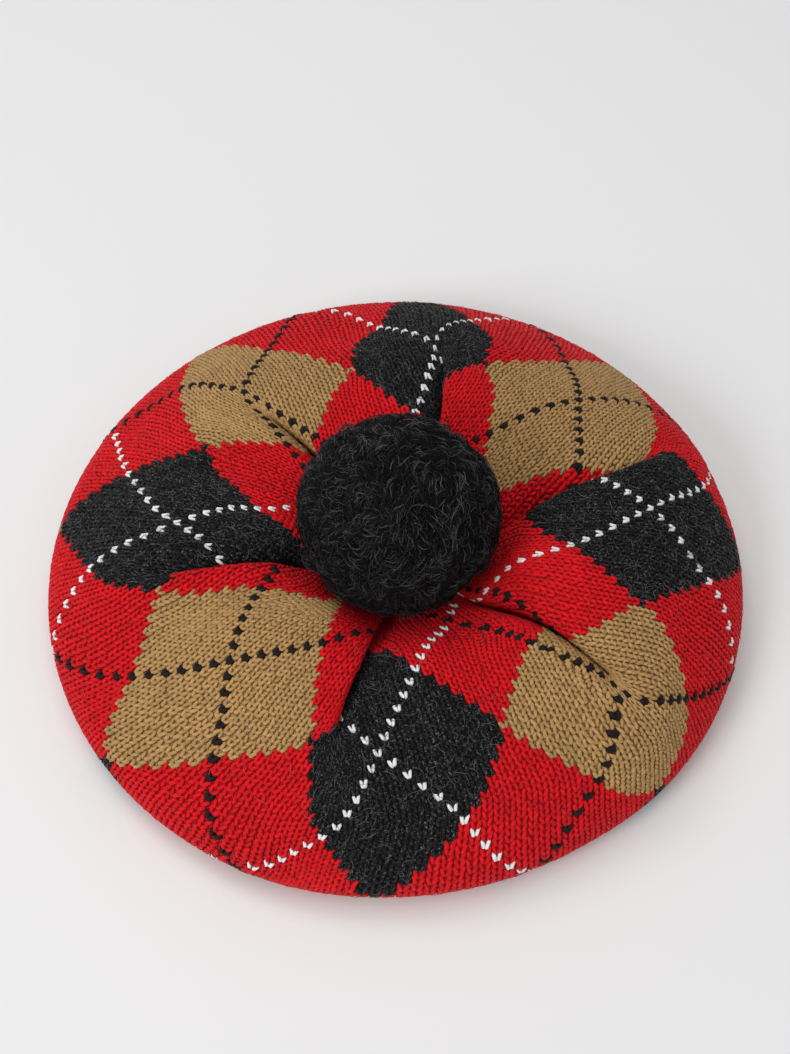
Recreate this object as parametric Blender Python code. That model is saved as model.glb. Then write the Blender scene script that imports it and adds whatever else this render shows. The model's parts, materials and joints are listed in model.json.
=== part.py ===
"""Knitted argyle tam o' shanter with a pompom, as it lies on a table.

Three pieces: the knitted crown (one cloth shell, gathered on top, rolled over at the rim and
open at the head hole), the headband that the head goes into, and the pompom sewn on at the gather.

The crown is drawn on its own knitting. A wale is a column of stitches and runs from the gather
out to the head hole. A course is a ring of stitches. Course 0 goes through the side corners of
the diamonds, negative courses lie towards the gather, and the rim is at about course 27.
Units are metres, Z is up and the table is at Z = 0. The front of the hat faces -Y.
"""
import math

import bpy
import numpy as np

MM = 0.001

# Knitting
WALES = 192                 # stitches round the crown: eight diamonds of 24
CLOTH = 2.5 * MM            # thickness of the knitted cloth
YARN_PITCH = 3.7 * MM       # width of one wale lying flat
FRONT_ANGLE = 266.8         # where wale 0 points on the rim, degrees from +X
RIM_CROWDING = 3.7          # how far the wales are pushed from the back to the front, degrees

# Crown, one row per ring, from the gather over the rim to the head hole. Millimetres.
# flat is how far the ring is pulled straight between two folds. deepest limits the folds.
SECTION_COLUMNS = ("course", "radius", "height", "east", "north", "flat", "deepest")
SECTIONS = (
    (-36, 8.0, 22.4, 4.0, -6.0, 0.00, 0.0),
    (-30, 21.0, 25.0, 6.0, -6.6, 0.75, 5.0),
    (-24, 34.0, 34.5, 7.4, -7.0, 0.75, 13.0),
    (-16, 49.5, 45.0, 7.8, -6.8, 0.75, 20.0),
    (-8, 68.5, 47.5, 7.2, -6.3, 0.75, 21.0),
    (0, 87.0, 44.5, 6.4, -5.4, 0.75, 21.0),
    (8, 105.0, 36.5, 5.2, -4.2, 0.60, 16.0),
    (16, 123.0, 27.0, 3.8, -2.7, 0.20, 10.0),
    (22, 133.0, 19.0, 1.2, -1.0, 0.00, 0.0),
    (26, 136.0, 11.5, 0.0, 0.0, 0.00, 0.0),
    (30, 133.0, 3.4, 0.0, 0.0, 0.00, 0.0),
    (34, 126.0, 0.0, 0.0, 0.0, 0.00, 0.0),
    (38, 117.0, 1.2, 0.0, 0.0, 0.00, 0.0),
    (43, 104.5, 10.0, 0.0, 0.0, 0.00, 0.0),
    (48, 92.0, 24.5, 0.0, 0.0, 0.00, 0.0),
)

# The six gathers that run from under the pompom. Wales, degrees, wales, courses, mm.
# hidden is how many wales the fold swallows at INNER_COURSE. lean pushes its floor under one
# side. wide is half its mouth at course 0. reach pushes the cloth beside the fold outwards. puff
# is how far the cloth between this fold and the next one bulges.
FOLD_COLUMNS = (
    "name", "wale_in", "wale_out", "angle_in", "angle_out", "hidden", "fade", "wide", "lean",
    "reach", "puff")
FOLDS = (
    ("front_left", -3.7, -6.6, 254.0, 256.0, 18.5, 10.0, 13.0, 0.60, 0.0, 2.0),
    ("front_right", 26.0, 24.3, 315.5, 318.0, 18.0, 4.0, 6.5, -0.80, 4.0, 4.0),
    ("right", 58.6, 59.2, 20.0, 23.4, 17.0, 10.0, 9.0, 0.70, 0.0, 3.5),
    ("back", 94.1, 94.8, 83.0, 82.3, 19.0, 2.0, 7.0, -0.60, 0.0, -1.0),
    ("back_left", 119.3, 122.0, 139.5, 136.0, 15.0, 3.0, 8.0, 0.55, 0.0, 1.0),
    ("left", 156.0, 153.6, 198.3, 192.0, 16.5, 3.0, 8.0, 0.75, 0.0, 0.5),
)
INNER_COURSE = -24.0        # where the folds reach their full width
OUTER_COURSE = 10.0         # where their lines end
FOLD_GROWTH = 1.1           # how the swallowed wales grow towards the gather
FOLD_HALF = 6.0 * MM        # half width of a fold's mouth near the gather
FOLD_NECK = 0.15            # width of a deep fold's slot, as a share of its mouth
NECK_DEPTH = 9.0 * MM       # depth at which a fold has closed to that slot
CORNER_SOFT = 5.0           # rounding of the ring's corners, degrees

# Smaller hollows and ridges. Wales, wales, mm (negative is a ridge), courses.
# Where the rim lies inside its circle. Degrees, degrees, mm.
RIM_COLUMNS = ("name", "angle", "half_angle", "reach")
RIM = (
    ("front", 274.0, 16.0, -1.6),
    ("front_right", 298.0, 16.0, -2.3),
)
DENT_COLUMNS = ("name", "wale_in", "wale_out", "half_width", "depth", "first", "last")
DENTS = (
    ("front_valley", 12.0, 12.0, 3.0, 3.0, -27.0, 2.0),
    ("right_ridge", 42.0, 38.0, 3.0, -2.5, -27.0, -4.0),
    ("left_valley", 163.5, 162.0, 3.0, 3.5, -28.0, 0.0),
)

# Headband
BAND_OUTER = 91.2 * MM
BAND_THICK = 3.2 * MM
BAND_HEIGHT = 27.0 * MM
BAND_EDGE = 1.0 * MM        # rounding of the band's edges

# Pompom
POMPOM_RADIUS = 37.0 * MM
POMPOM_CENTRE = (1.5 * MM, -6.0 * MM, 60.6 * MM)
# The ball's loose clumps: how many lie round it, how many from pole to pole, turn, mm.
CLUMP_COLUMNS = ("round", "down", "turn", "height")
CLUMPS = (
    (3, 2, 0.4, 0.7),
    (5, 3, 1.9, 0.5),
    (4, 5, 3.1, 0.4),
)

# Mesh density
FOLD_STEPS = (-1.0, -0.72, -0.48, -0.24, 0.0, 0.24, 0.48, 0.72, 1.0)
PANEL_STEPS = (0.16, 0.33, 0.5, 0.67, 0.84)
TOP_RINGS = (-36, -33, -30, -27, -24, -20, -16, -12, -8, -4, 0, 4, 8, 12, 16, 19.5)
RIM_RINGS = (22.5, 25, 27, 29, 31.5, 34, 38, 43, 48)


def rows(columns, table):
    """Turn a table into a list of dictionaries, one per row."""
    return [dict(zip(columns, row)) for row in table]


def ease(t):
    """Smooth step from 0 to 1."""
    t = np.clip(t, 0.0, 1.0)
    return t * t * (3.0 - 2.0 * t)


def section(course, column):
    """One column of the crown's section table at any course, on a smooth curve."""
    xs = np.array([row[0] for row in SECTIONS], float)
    ys = np.array([row[SECTION_COLUMNS.index(column)] for row in SECTIONS], float)
    slope = np.gradient(ys, xs)
    i = int(np.clip(np.searchsorted(xs, course, side="right") - 1, 0, len(xs) - 2))
    step = xs[i + 1] - xs[i]
    t = min(max((course - xs[i]) / step, 0.0), 1.0)
    start = (1 + 2 * t) * (1 - t) ** 2 * ys[i] + t * (1 - t) ** 2 * step * slope[i]
    end = t * t * (3 - 2 * t) * ys[i + 1] - t * t * (1 - t) * step * slope[i + 1]
    return start + end


def rim_angle(wale):
    """Where a wale points when no fold pulls it aside, in degrees."""
    angle = FRONT_ANGLE + wale * 360.0 / WALES
    return angle + RIM_CROWDING * math.cos(math.radians(angle))


def turn(angle):
    """An angle difference brought to within half a turn."""
    return (angle + 180.0) % 360.0 - 180.0


def rim_reach(course, angle):
    """How far the rim stands out of its circle at one angle."""
    share = ease((course - 4.0) / 16.0) * ease((46.0 - course) / 16.0)
    reach = 0.0
    for row in rows(RIM_COLUMNS, RIM):
        gap = turn(math.degrees(angle) - row["angle"])
        reach += row["reach"] * MM * math.exp(-(gap / row["half_angle"]) ** 2)
    return reach * share


def folds_at(course):
    """Place, width and depth of each fold where it crosses one course."""
    inward = min(max((OUTER_COURSE - course) / (OUTER_COURSE - INNER_COURSE), 0.0), 1.0)
    hold = ease((20.0 - course) / 20.0)
    narrow = min(FOLD_HALF, 0.33 * section(course, "radius") * MM)
    opening = ease((course + 16.0) / 16.0)
    deepest = max(section(course, "deepest"), 0.0) * MM
    found = []
    for row in rows(FOLD_COLUMNS, FOLDS):
        wale = row["wale_in"] * inward + row["wale_out"] * (1.0 - inward)
        angle = row["angle_out"] + turn(row["angle_in"] - row["angle_out"]) * inward
        free = rim_angle(wale)
        grown = max((row["fade"] - course) / (row["fade"] - INNER_COURSE), 0.0) ** FOLD_GROWTH
        hidden = row["hidden"] * grown * ease((course + 36.0) / 8.0)
        mouth = narrow + (row["wide"] * MM - FOLD_HALF) * opening
        run = mouth + hidden * YARN_PITCH / 2.0
        depth = math.sqrt(run * run - mouth * mouth)
        if deepest > 0.0:
            depth = deepest * math.tanh(depth / deepest)
        else:
            depth = 0.0
        depth *= ease((row["fade"] - 2.0 - course) / 16.0)
        found.append({
            "wale": wale, "angle": free + turn(angle - free) * hold, "hidden": hidden,
            "mouth": mouth, "depth": depth, "lean": row["lean"], "reach": row["reach"] * MM,
            "puff": row["puff"] * MM})
    return found


def panel_size(course, folds, index):
    """Visible wales and length of the ring between fold number index and the next one."""
    here = folds[index]
    after = folds[(index + 1) % len(folds)]
    wales = (after["wale"] - here["wale"]) % WALES - (after["hidden"] + here["hidden"]) / 2.0
    span = math.radians((after["angle"] - here["angle"]) % 360.0)
    flat = section(course, "flat")
    bend = span * (1.0 - flat) + 2.0 * math.tan(span / 2.0) * flat
    return wales, section(course, "radius") * MM * bend


def corner_radius(radius, folds, index):
    """Distance of the ring's corner at one fold when the ring is pulled straight."""
    before = folds[index - 1]["angle"]
    after = folds[(index + 1) % len(folds)]["angle"]
    return radius / math.cos(math.radians((after - before) % 360.0) / 4.0)


def panel_point(course, folds, index, share):
    """Point of the ring between fold number index and the next one, before folds are pressed."""
    following = (index + 1) % len(folds)
    first = folds[index]["angle"]
    half = math.radians((folds[following]["angle"] - first) % 360.0) / 2.0
    radius = section(course, "radius") * MM
    flat = min(max(section(course, "flat"), 0.0), 1.0)
    start = corner_radius(radius, folds, index)
    end = corner_radius(radius, folds, following)
    across = math.sin(half) * (end * share - start * (1.0 - share))
    straight = math.atan2(across, math.cos(half) * (end * share + start * (1.0 - share)))
    offset = straight * flat + half * (2.0 * share - 1.0) * (1.0 - flat)
    soft = math.radians(CORNER_SOFT)
    eased = (math.hypot(half - abs(offset), soft) - soft) / (math.hypot(half, soft) - soft)
    near = math.copysign(half * (1.0 - eased), offset)
    line = start * math.sin(half + near) + end * math.sin(half - near)
    line = start * end * math.sin(2.0 * half) / line
    radius = radius * (1.0 - flat) + line * flat
    angle = math.radians(first) + half + offset
    return np.array((math.cos(angle), math.sin(angle))) * radius


def dent(course, wale):
    """Depth of the small hollows at a point of the knitting."""
    depth = 0.0
    for row in rows(DENT_COLUMNS, DENTS):
        t = (course - row["first"]) / (row["last"] - row["first"])
        if 0.0 < t < 1.0:
            centre = row["wale_in"] + (row["wale_out"] - row["wale_in"]) * t
            offset = (wale - centre + WALES / 2) % WALES - WALES / 2
            shape = math.exp(-(offset / row["half_width"]) ** 2)
            depth += row["depth"] * MM * shape * ease(3 * t) * ease(3 * (1 - t))
    return depth


def ring_points(course):
    """All points of one ring of the crown's outer face, fold by fold and panel by panel."""
    folds = folds_at(course)
    slope_r = section(course + 0.25, "radius") - section(course - 0.25, "radius")
    slope_z = section(course + 0.25, "height") - section(course - 0.25, "height")
    if course <= SECTIONS[0][0]:
        slope_z = 0.0
    length = math.hypot(slope_r, slope_z)
    up_r, up_z = -slope_z / length, slope_r / length
    height = section(course, "height") * MM
    centre = np.array((section(course, "east"), section(course, "north"))) * MM
    reach_here = ease((16.0 - course) / 14.0) * ease((course + 26.0) / 16.0)
    puff_here = ease((20.0 - course) / 16.0) * ease((course + 30.0) / 10.0)
    points = []
    for index, fold in enumerate(folds):
        wales_before, length_before = panel_size(course, folds, index - 1)
        wales, length = panel_size(course, folds, index)
        mouth = fold["mouth"] / length
        next_mouth = folds[(index + 1) % len(folds)]["mouth"] / length
        samples = []
        neck = 1.0 - (1.0 - FOLD_NECK) * ease(fold["depth"] / NECK_DEPTH)
        for u in FOLD_STEPS:
            x = fold["mouth"] * (neck * u + (1.0 - neck) * u ** 3)
            inside = (1.0 - u * u) ** 2
            if x < 0.0:
                share = x / length_before
                samples.append((index - 1, 1.0 + share, share * wales_before, inside))
            else:
                samples.append((index, x / length, x / length * wales, inside))
        for s in PANEL_STEPS:
            share = mouth + (1.0 - mouth - next_mouth) * s
            samples.append((index, share, share * wales, 0.0))
        for panel, share, offset, inside in samples:
            place = panel_point(course, folds, panel, share)
            out = place / np.linalg.norm(place)
            place = place + out * rim_reach(course, math.atan2(out[1], out[0]))
            for other in folds:
                if other["reach"] > 0.0:
                    gap = (offset + fold["wale"] - other["wale"] + WALES / 2) % WALES
                    gap = abs(gap - WALES / 2)
                    place = place + out * other["reach"] * reach_here * math.exp(-(gap / 7) ** 2)
            wale = fold["wale"] + offset + math.copysign(fold["hidden"] / 2, offset)
            lift = folds[panel]["puff"] * 4.0 * share * (1.0 - share) * puff_here
            lift -= fold["depth"] * inside + dent(course, wale) * (1.0 - inside)
            side = -fold["lean"] * fold["depth"] * inside
            x = centre[0] + place[0] + out[0] * up_r * lift - out[1] * side
            y = centre[1] + place[1] + out[1] * up_r * lift + out[0] * side
            points.append((x, y, max(height + up_z * lift, 0.0)))
    return points


def grid_normals(grid):
    """Outward normals of a closed-round grid of points, rings by columns."""
    around = np.roll(grid, -1, axis=1) - np.roll(grid, 1, axis=1)
    along = np.gradient(grid, axis=0)
    normal = np.cross(along, around)
    return normal / np.linalg.norm(normal, axis=2, keepdims=True)


def add_piece(name, vertices, faces, colour, roughness):
    """Make one smooth-shaded object with its own plain material."""
    mesh = bpy.data.meshes.new(name)
    mesh.from_pydata([tuple(v) for v in vertices], [], faces)
    mesh.validate()
    for polygon in mesh.polygons:
        polygon.use_smooth = True
    material = bpy.data.materials.new(name)
    material.use_nodes = True
    shader = material.node_tree.nodes["Principled BSDF"]
    shader.inputs["Base Color"].default_value = colour
    shader.inputs["Roughness"].default_value = roughness
    shader.inputs["Metallic"].default_value = 0.0
    mesh.materials.append(material)
    piece = bpy.data.objects.new(name, mesh)
    bpy.context.scene.collection.objects.link(piece)
    return piece


def bridge(first, second, count):
    """Quads between two rings that start at vertex numbers first and second."""
    quads = []
    for i in range(count):
        j = (i + 1) % count
        quads.append((first + i, second + i, second + j, first + j))
    return quads


def make_crown():
    """The knitted shell: outer face, inner face one cloth thickness inside, and the hole's edge."""
    outer = np.array([ring_points(float(c)) for c in TOP_RINGS + RIM_RINGS])
    inner = outer - grid_normals(outer) * CLOTH
    rings, count = outer.shape[:2]
    vertices = [p for ring in outer for p in ring]
    vertices += [p for ring in inner for p in ring]
    faces = []
    for i in range(rings - 1):
        faces += bridge(i * count, (i + 1) * count, count)
    base = rings * count
    for i in range(rings - 1):
        faces += bridge(base + (i + 1) * count, base + i * count, count)
    faces += bridge((rings - 1) * count, base + (rings - 1) * count, count)
    middle = outer[0].mean(axis=0)
    top = len(vertices)
    vertices.append((middle[0], middle[1], middle[2]))
    vertices.append((middle[0], middle[1], middle[2] - CLOTH))
    for i in range(count):
        j = (i + 1) % count
        faces.append((top, i, j))
        faces.append((top + 1, base + j, base + i))
    return add_piece("crown", vertices, faces, (0.56, 0.012, 0.02, 1.0), 0.92)


def make_headband():
    """The band: a plain upright ring with softened edges and a flat lower edge on the table."""
    inside = BAND_OUTER - BAND_THICK
    profile = (
        (inside, BAND_EDGE), (inside, BAND_HEIGHT * 0.5), (inside, BAND_HEIGHT - BAND_EDGE),
        (inside + BAND_EDGE, BAND_HEIGHT), (BAND_OUTER - BAND_EDGE, BAND_HEIGHT),
        (BAND_OUTER, BAND_HEIGHT - BAND_EDGE), (BAND_OUTER, BAND_HEIGHT * 0.5),
        (BAND_OUTER, BAND_EDGE), (BAND_OUTER - BAND_EDGE * 0.6, 0.0),
        (inside + BAND_EDGE * 0.6, 0.0))
    count = 72
    vertices = []
    for radius, height in profile:
        for i in range(count):
            angle = 2.0 * math.pi * i / count
            vertices.append((radius * math.cos(angle), radius * math.sin(angle), height))
    faces = []
    for k in range(len(profile)):
        faces += bridge(k * count, ((k + 1) % len(profile)) * count, count)
    return add_piece("headband", vertices, faces, (0.5, 0.012, 0.02, 1.0), 0.92)


def make_pompom():
    """The ball's outer form: a round mass with soft clumps."""
    columns, bands = 36, 18
    vertices = [(0.0, 0.0, -POMPOM_RADIUS)]
    for k in range(1, bands):
        polar = math.pi * (1.0 - k / bands)
        for i in range(columns):
            angle = 2.0 * math.pi * i / columns
            radius = POMPOM_RADIUS
            for row in rows(CLUMP_COLUMNS, CLUMPS):
                wave = math.sin(row["round"] * angle + row["turn"])
                wave *= math.sin(row["down"] * polar + row["turn"])
                radius += row["height"] * MM * wave * math.sin(polar)
            flat = math.sin(polar) * radius
            vertices.append((flat * math.cos(angle), flat * math.sin(angle),
                             math.cos(polar) * radius))
    vertices.append((0.0, 0.0, POMPOM_RADIUS))
    faces = []
    for i in range(columns):
        faces.append((0, 1 + (i + 1) % columns, 1 + i))
    for k in range(bands - 2):
        faces += bridge(1 + (k + 1) * columns, 1 + k * columns, columns)
    last = 1 + (bands - 2) * columns
    for i in range(columns):
        faces.append((last + columns, last + i, last + (i + 1) % columns))
    piece = add_piece("pompom", vertices, faces, (0.012, 0.012, 0.014, 1.0), 0.95)
    piece.location = POMPOM_CENTRE
    return piece


def main():
    """Clear the scene and build the three pieces."""
    for old in list(bpy.data.objects):
        bpy.data.objects.remove(old, do_unlink=True)
    make_crown()
    make_headband()
    make_pompom()


main()
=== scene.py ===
"""Knitted argyle tam o' shanter with a pompom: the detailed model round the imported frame.

The crown is drawn on its own knitting. A wale is a column of stitches and runs from the gather
out to the head hole. A course is a ring of stitches. Course 0 goes through the side corners of
the diamonds, negative courses lie towards the gather, and the rim is at about course 27.
Units are metres, Z is up, and the front of the hat faces -Y.
"""
import json
import math

import bpy
import numpy as np
from bpy.props import FloatProperty, FloatVectorProperty, IntProperty, PointerProperty
from bpy.types import Operator, Panel, PropertyGroup
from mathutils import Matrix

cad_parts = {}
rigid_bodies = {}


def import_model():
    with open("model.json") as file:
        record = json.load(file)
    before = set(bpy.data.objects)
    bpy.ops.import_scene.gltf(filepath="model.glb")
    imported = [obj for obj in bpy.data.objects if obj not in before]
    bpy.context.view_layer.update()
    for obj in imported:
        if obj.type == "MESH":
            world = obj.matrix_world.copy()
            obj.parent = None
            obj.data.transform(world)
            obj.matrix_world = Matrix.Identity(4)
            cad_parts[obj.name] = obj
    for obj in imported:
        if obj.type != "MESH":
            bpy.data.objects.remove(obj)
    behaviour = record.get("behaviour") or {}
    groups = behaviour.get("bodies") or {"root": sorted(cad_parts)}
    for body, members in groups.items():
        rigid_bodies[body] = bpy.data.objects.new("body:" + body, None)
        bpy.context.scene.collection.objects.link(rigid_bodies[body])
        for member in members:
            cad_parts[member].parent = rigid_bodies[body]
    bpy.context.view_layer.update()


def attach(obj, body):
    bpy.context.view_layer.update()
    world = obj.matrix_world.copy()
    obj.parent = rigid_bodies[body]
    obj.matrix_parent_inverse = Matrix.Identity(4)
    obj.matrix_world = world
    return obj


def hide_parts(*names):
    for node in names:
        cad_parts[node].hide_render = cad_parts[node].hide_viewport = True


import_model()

bl_info = {
    "name": "Knitted tam o' shanter",
    "version": (1, 0, 0),
    "blender": (4, 5, 0),
    "location": "3D View > Sidebar > Tam",
    "description": "Builds an argyle tam o' shanter stitch by stitch on its packed frame",
    "category": "Add Mesh",
}

MM = 0.001

# ---- The crown's form ----
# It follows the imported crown's outer face. Four of the folds, the ridge beside the front right
# one and the soft end of the front left one are set closer to the photograph.
WALES = 192                 # stitches round the crown
FIRST_COURSE = -36.0        # at the gather
LAST_COURSE = 48.0          # at the head hole
YARN_PITCH = 3.7 * MM       # width of one wale lying flat
FRONT_ANGLE = 266.8         # where wale 0 points on the rim, degrees from +X
RIM_CROWDING = 3.7          # how far the wales are pushed from the back to the front, degrees

# One row for each ring, from the gather over the rim to the head hole. Lengths in millimetres.
# flat is how far the ring is pulled straight between two folds. deepest limits the folds.
SECTION_COLUMNS = ("course", "radius", "height", "east", "north", "flat", "deepest")
SECTIONS = (
    (-36, 8.0, 22.4, 4.0, -6.0, 0.00, 0.0),
    (-30, 21.0, 25.0, 6.0, -6.6, 0.75, 5.0),
    (-24, 34.0, 34.5, 7.4, -7.0, 0.75, 13.0),
    (-16, 49.5, 45.0, 7.8, -6.8, 0.75, 20.0),
    (-8, 68.5, 47.5, 7.2, -6.3, 0.75, 21.0),
    (0, 87.0, 44.5, 6.4, -5.4, 0.75, 21.0),
    (8, 105.0, 36.5, 5.2, -4.2, 0.60, 16.0),
    (16, 123.0, 27.0, 3.8, -2.7, 0.20, 10.0),
    (22, 133.0, 19.0, 1.2, -1.0, 0.00, 0.0),
    (26, 136.0, 11.5, 0.0, 0.0, 0.00, 0.0),
    (30, 133.0, 3.4, 0.0, 0.0, 0.00, 0.0),
    (34, 126.0, 0.0, 0.0, 0.0, 0.00, 0.0),
    (38, 117.0, 1.2, 0.0, 0.0, 0.00, 0.0),
    (43, 104.5, 10.0, 0.0, 0.0, 0.00, 0.0),
    (48, 92.0, 24.5, 0.0, 0.0, 0.00, 0.0),
)

# The six gathers that run from under the pompom. Wales, degrees, wales, courses, millimetres.
# hidden is how many wales the fold swallows at INNER_COURSE, and fade is the course where that
# starts. wide is half the fold's mouth at course 0, lean pushes its floor under one side, reach
# pushes the cloth beside it outwards, and puff bulges the cloth up to the next fold.
FOLD_COLUMNS = (
    "name", "wale_in", "wale_out", "angle_in", "angle_out", "hidden", "fade", "wide", "lean",
    "reach", "puff")
FOLDS = (
    ("front_left", -3.7, -6.6, 254.0, 256.0, 18.5, 10.0, 13.0, 0.95, 0.0, 2.0),
    ("front_right", 26.0, 24.3, 315.5, 318.0, 18.0, 4.0, 5.0, -0.80, 4.0, 4.0),
    ("right", 58.6, 59.2, 20.0, 23.4, 17.0, 10.0, 9.0, 0.70, 0.0, 3.5),
    ("back", 93.2, 94.4, 83.0, 82.3, 20.0, 4.0, 7.0, 0.45, 0.0, -1.0),
    ("back_left", 119.3, 122.0, 139.5, 136.0, 15.0, 3.0, 8.0, 0.55, 0.0, 1.0),
    ("left", 152.6, 152.2, 189.2, 190.6, 16.0, 8.0, 8.0, -0.35, 0.0, 0.5),
)
INNER_COURSE = -24.0        # where the folds reach their full width
OUTER_COURSE = 10.0         # where their lines end
FOLD_GROWTH = 1.1           # how the swallowed wales grow towards the gather
FOLD_HALF = 6.0 * MM        # half width of a fold's mouth near the gather
FOLD_SHARE = 0.33           # and the most it may be, as a share of the ring's radius
MOUTH_COURSES = 16.0        # courses over which the mouth changes from that width to wide
FOLD_NECK = 0.15            # width of a deep fold's slot, as a share of its mouth
NECK_DEPTH = 9.0 * MM       # depth at which a fold has closed to that slot
FOLD_TAIL = 2.0             # courses from fade to where a fold's line starts to sink
SINK_COURSES = 16.0         # courses over which it sinks to its full depth
SOFT_END = 7.0              # courses by which the front left fold's line ends sooner
HELD_COURSES = 20.0         # the folds pull the wales round up to this course
GATHER_COURSES = 8.0        # courses next to the gather where the folds run out
CORNER_SOFT = math.radians(5.0)     # over how much of the ring it turns a corner at a fold

# Courses between which something acts: first, how it fades in, last, how it fades out
REACH_COURSES = (-26.0, 16.0, 16.0, 14.0)
PUFF_COURSES = (-30.0, 10.0, 20.0, 16.0)
RIM_COURSES = (4.0, 16.0, 46.0, 16.0)
REACH_WALES = 7.0           # how far along the ring a fold's reach carries

# Where the rim lies inside its circle. Degrees, degrees, millimetres.
RIM_COLUMNS = ("name", "angle", "half_angle", "reach")
RIM = (
    ("front", 274.0, 16.0, -1.6),
    ("front_right", 298.0, 16.0, -2.3),
)

# Smaller hollows and ridges. Wales, millimetres (less than nothing is a ridge), courses.
DENT_COLUMNS = ("name", "wale_in", "wale_out", "half_width", "depth", "first", "last")
DENTS = (
    ("front_valley", 12.0, 12.0, 3.0, 3.0, -27.0, 2.0),
    ("right_ridge", 42.0, 38.0, 3.0, -2.5, -27.0, -4.0),
    ("left_valley", 163.5, 162.0, 3.0, 3.5, -28.0, 0.0),
    ("front_right_ridge", 15.5, 22.0, 2.0, -2.5, -28.0, -3.0),
)

# Where the knitting is pulled off its even spread: the middle and the half size of each place,
# and how far its stitches have moved, all in wales and courses.
EASE_COLUMNS = (
    "name", "wale", "course", "half_wales", "half_courses", "wales_moved", "courses_moved")
EASES = (
    ("front", 0.0, -1.0, 9.0, 14.0, 0.4, -1.3),
    ("front_inner", 0.5, -20.0, 4.5, 6.0, 0.0, -4.8),
    ("front_inner_left", -1.0, -22.0, 4.0, 4.5, -1.0, -2.0),
    ("front_tip", 0.0, 26.0, 6.0, 4.5, 0.0, 3.4),
    ("front_rim", 9.0, 23.0, 10.0, 6.0, 0.4, 3.6),
    ("front_right_inner", 15.0, -19.0, 4.0, 5.0, 1.0, 2.4),
    ("front_right", 23.0, -1.0, 7.0, 9.0, -0.4, -2.8),
    ("right_inner", 35.0, -21.0, 5.0, 7.0, 2.4, -1.5),
    ("right_tip", 47.0, -23.0, 4.5, 6.0, 3.6, 0.0),
    ("right_fold", 66.0, -12.0, 4.0, 7.0, -0.7, 1.2),
    ("right_rim", 40.0, 16.0, 5.0, 7.0, 1.1, 0.0),
    ("back_right", 79.0, 11.0, 6.0, 9.0, -1.0, -3.4),
    ("back_corner_right", 85.0, 0.0, 3.0, 5.0, 1.1, 0.0),
    ("back_corner_low", 83.0, 0.5, 5.0, 5.5, 0.0, -2.8),
    ("back_right_inner", 78.0, -12.0, 6.0, 7.0, -0.6, -2.6),
    ("back_near", 97.0, -1.0, 6.0, 8.0, 0.0, -2.2),
    ("back_inner", 101.5, -10.5, 4.5, 6.5, 0.0, -2.6),
    ("back_corner_left", 107.0, 0.0, 3.0, 5.0, -1.1, 0.0),
    ("back_corner_far", 108.5, -0.5, 4.5, 6.0, 0.0, -2.4),
    ("back_rim_right", 90.0, 13.0, 5.0, 7.0, 0.3, -3.2),
    ("back_rim_left", 103.0, 13.0, 5.0, 7.0, -0.4, -4.5),
    ("back_rim_far", 106.0, 20.5, 3.0, 4.5, -0.8, 0.0),
    ("back_left_rim", 114.0, 14.0, 5.0, 7.0, 0.8, -2.2),
    ("back_left_inner", 115.0, -9.0, 5.0, 8.0, -0.4, -1.8),
    ("left_back", 126.0, 11.0, 4.0, 5.0, -0.3, 1.5),
    ("back_left_corner", 130.0, -1.0, 3.0, 5.0, -1.2, 0.0),
    ("left_back_corner", 134.0, -4.0, 3.0, 5.0, 1.3, 0.0),
    ("left_back_rim", 133.0, 21.0, 5.0, 5.0, 0.5, -1.9),
    ("left_back_inner", 137.0, -14.0, 4.0, 6.0, 1.6, 0.0),
    ("left_middle", 145.0, -3.0, 5.5, 9.0, -0.3, -1.7),
    ("left_fold", 147.5, -21.0, 4.5, 7.5, 1.5, 0.0),
    ("left_rim", 156.0, 22.0, 5.0, 6.0, 0.2, 1.6),
    ("left_front", 160.0, 15.0, 5.0, 9.0, 1.2, 0.0),
    ("left_front_corner", 158.5, -3.0, 4.5, 7.0, 1.6, 1.3),
    ("front_left_tip", 165.0, -19.0, 4.5, 5.5, 3.8, 1.0),
    ("front_left_inner", 178.0, -19.0, 4.0, 5.0, 0.0, -3.6),
    ("front_left", 175.0, 9.0, 6.0, 9.0, 0.0, -1.1),
    ("front_left_rim", 182.0, 21.0, 5.0, 7.0, 1.9, 2.2),
)

# The band and the pompom, as packed
BAND_OUTER = 91.2 * MM
BAND_THICK = 3.2 * MM
BAND_HEIGHT = 27.0 * MM
POMPOM_RADIUS = 37.0 * MM
POMPOM_CENTRE = np.array((1.5, -6.0, 60.6)) * MM
POMPOM_SAG = np.array((-0.4, -2.8, -0.8)) * MM      # how far the wool leans to the front
POMPOM_PAINTED_SHADE = (40.0 * MM, 92.0 * MM)               # heights over which its wool goes from painted shade below to its full lightness

# How finely the form is worked out
GRID_STEP = 0.25            # wales and courses between two points of the form
FOLD_SAMPLES = 61
PANEL_SAMPLES = 25


def rows(columns, table):
    """Turn a table into a list of dictionaries, one per row."""
    return [dict(zip(columns, row)) for row in table]


def ease(t):
    """Smooth step from 0 to 1."""
    t = np.clip(t, 0.0, 1.0)
    return t * t * (3.0 - 2.0 * t)


def within(course, first, fade_in, last, fade_out):
    """1 well between two courses and 0 outside them."""
    return ease((course - first) / fade_in) * ease((last - course) / fade_out)


def unit(v):
    """Vectors brought to length one."""
    return v / np.maximum(np.linalg.norm(v, axis=-1, keepdims=True), 1e-12)


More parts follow.
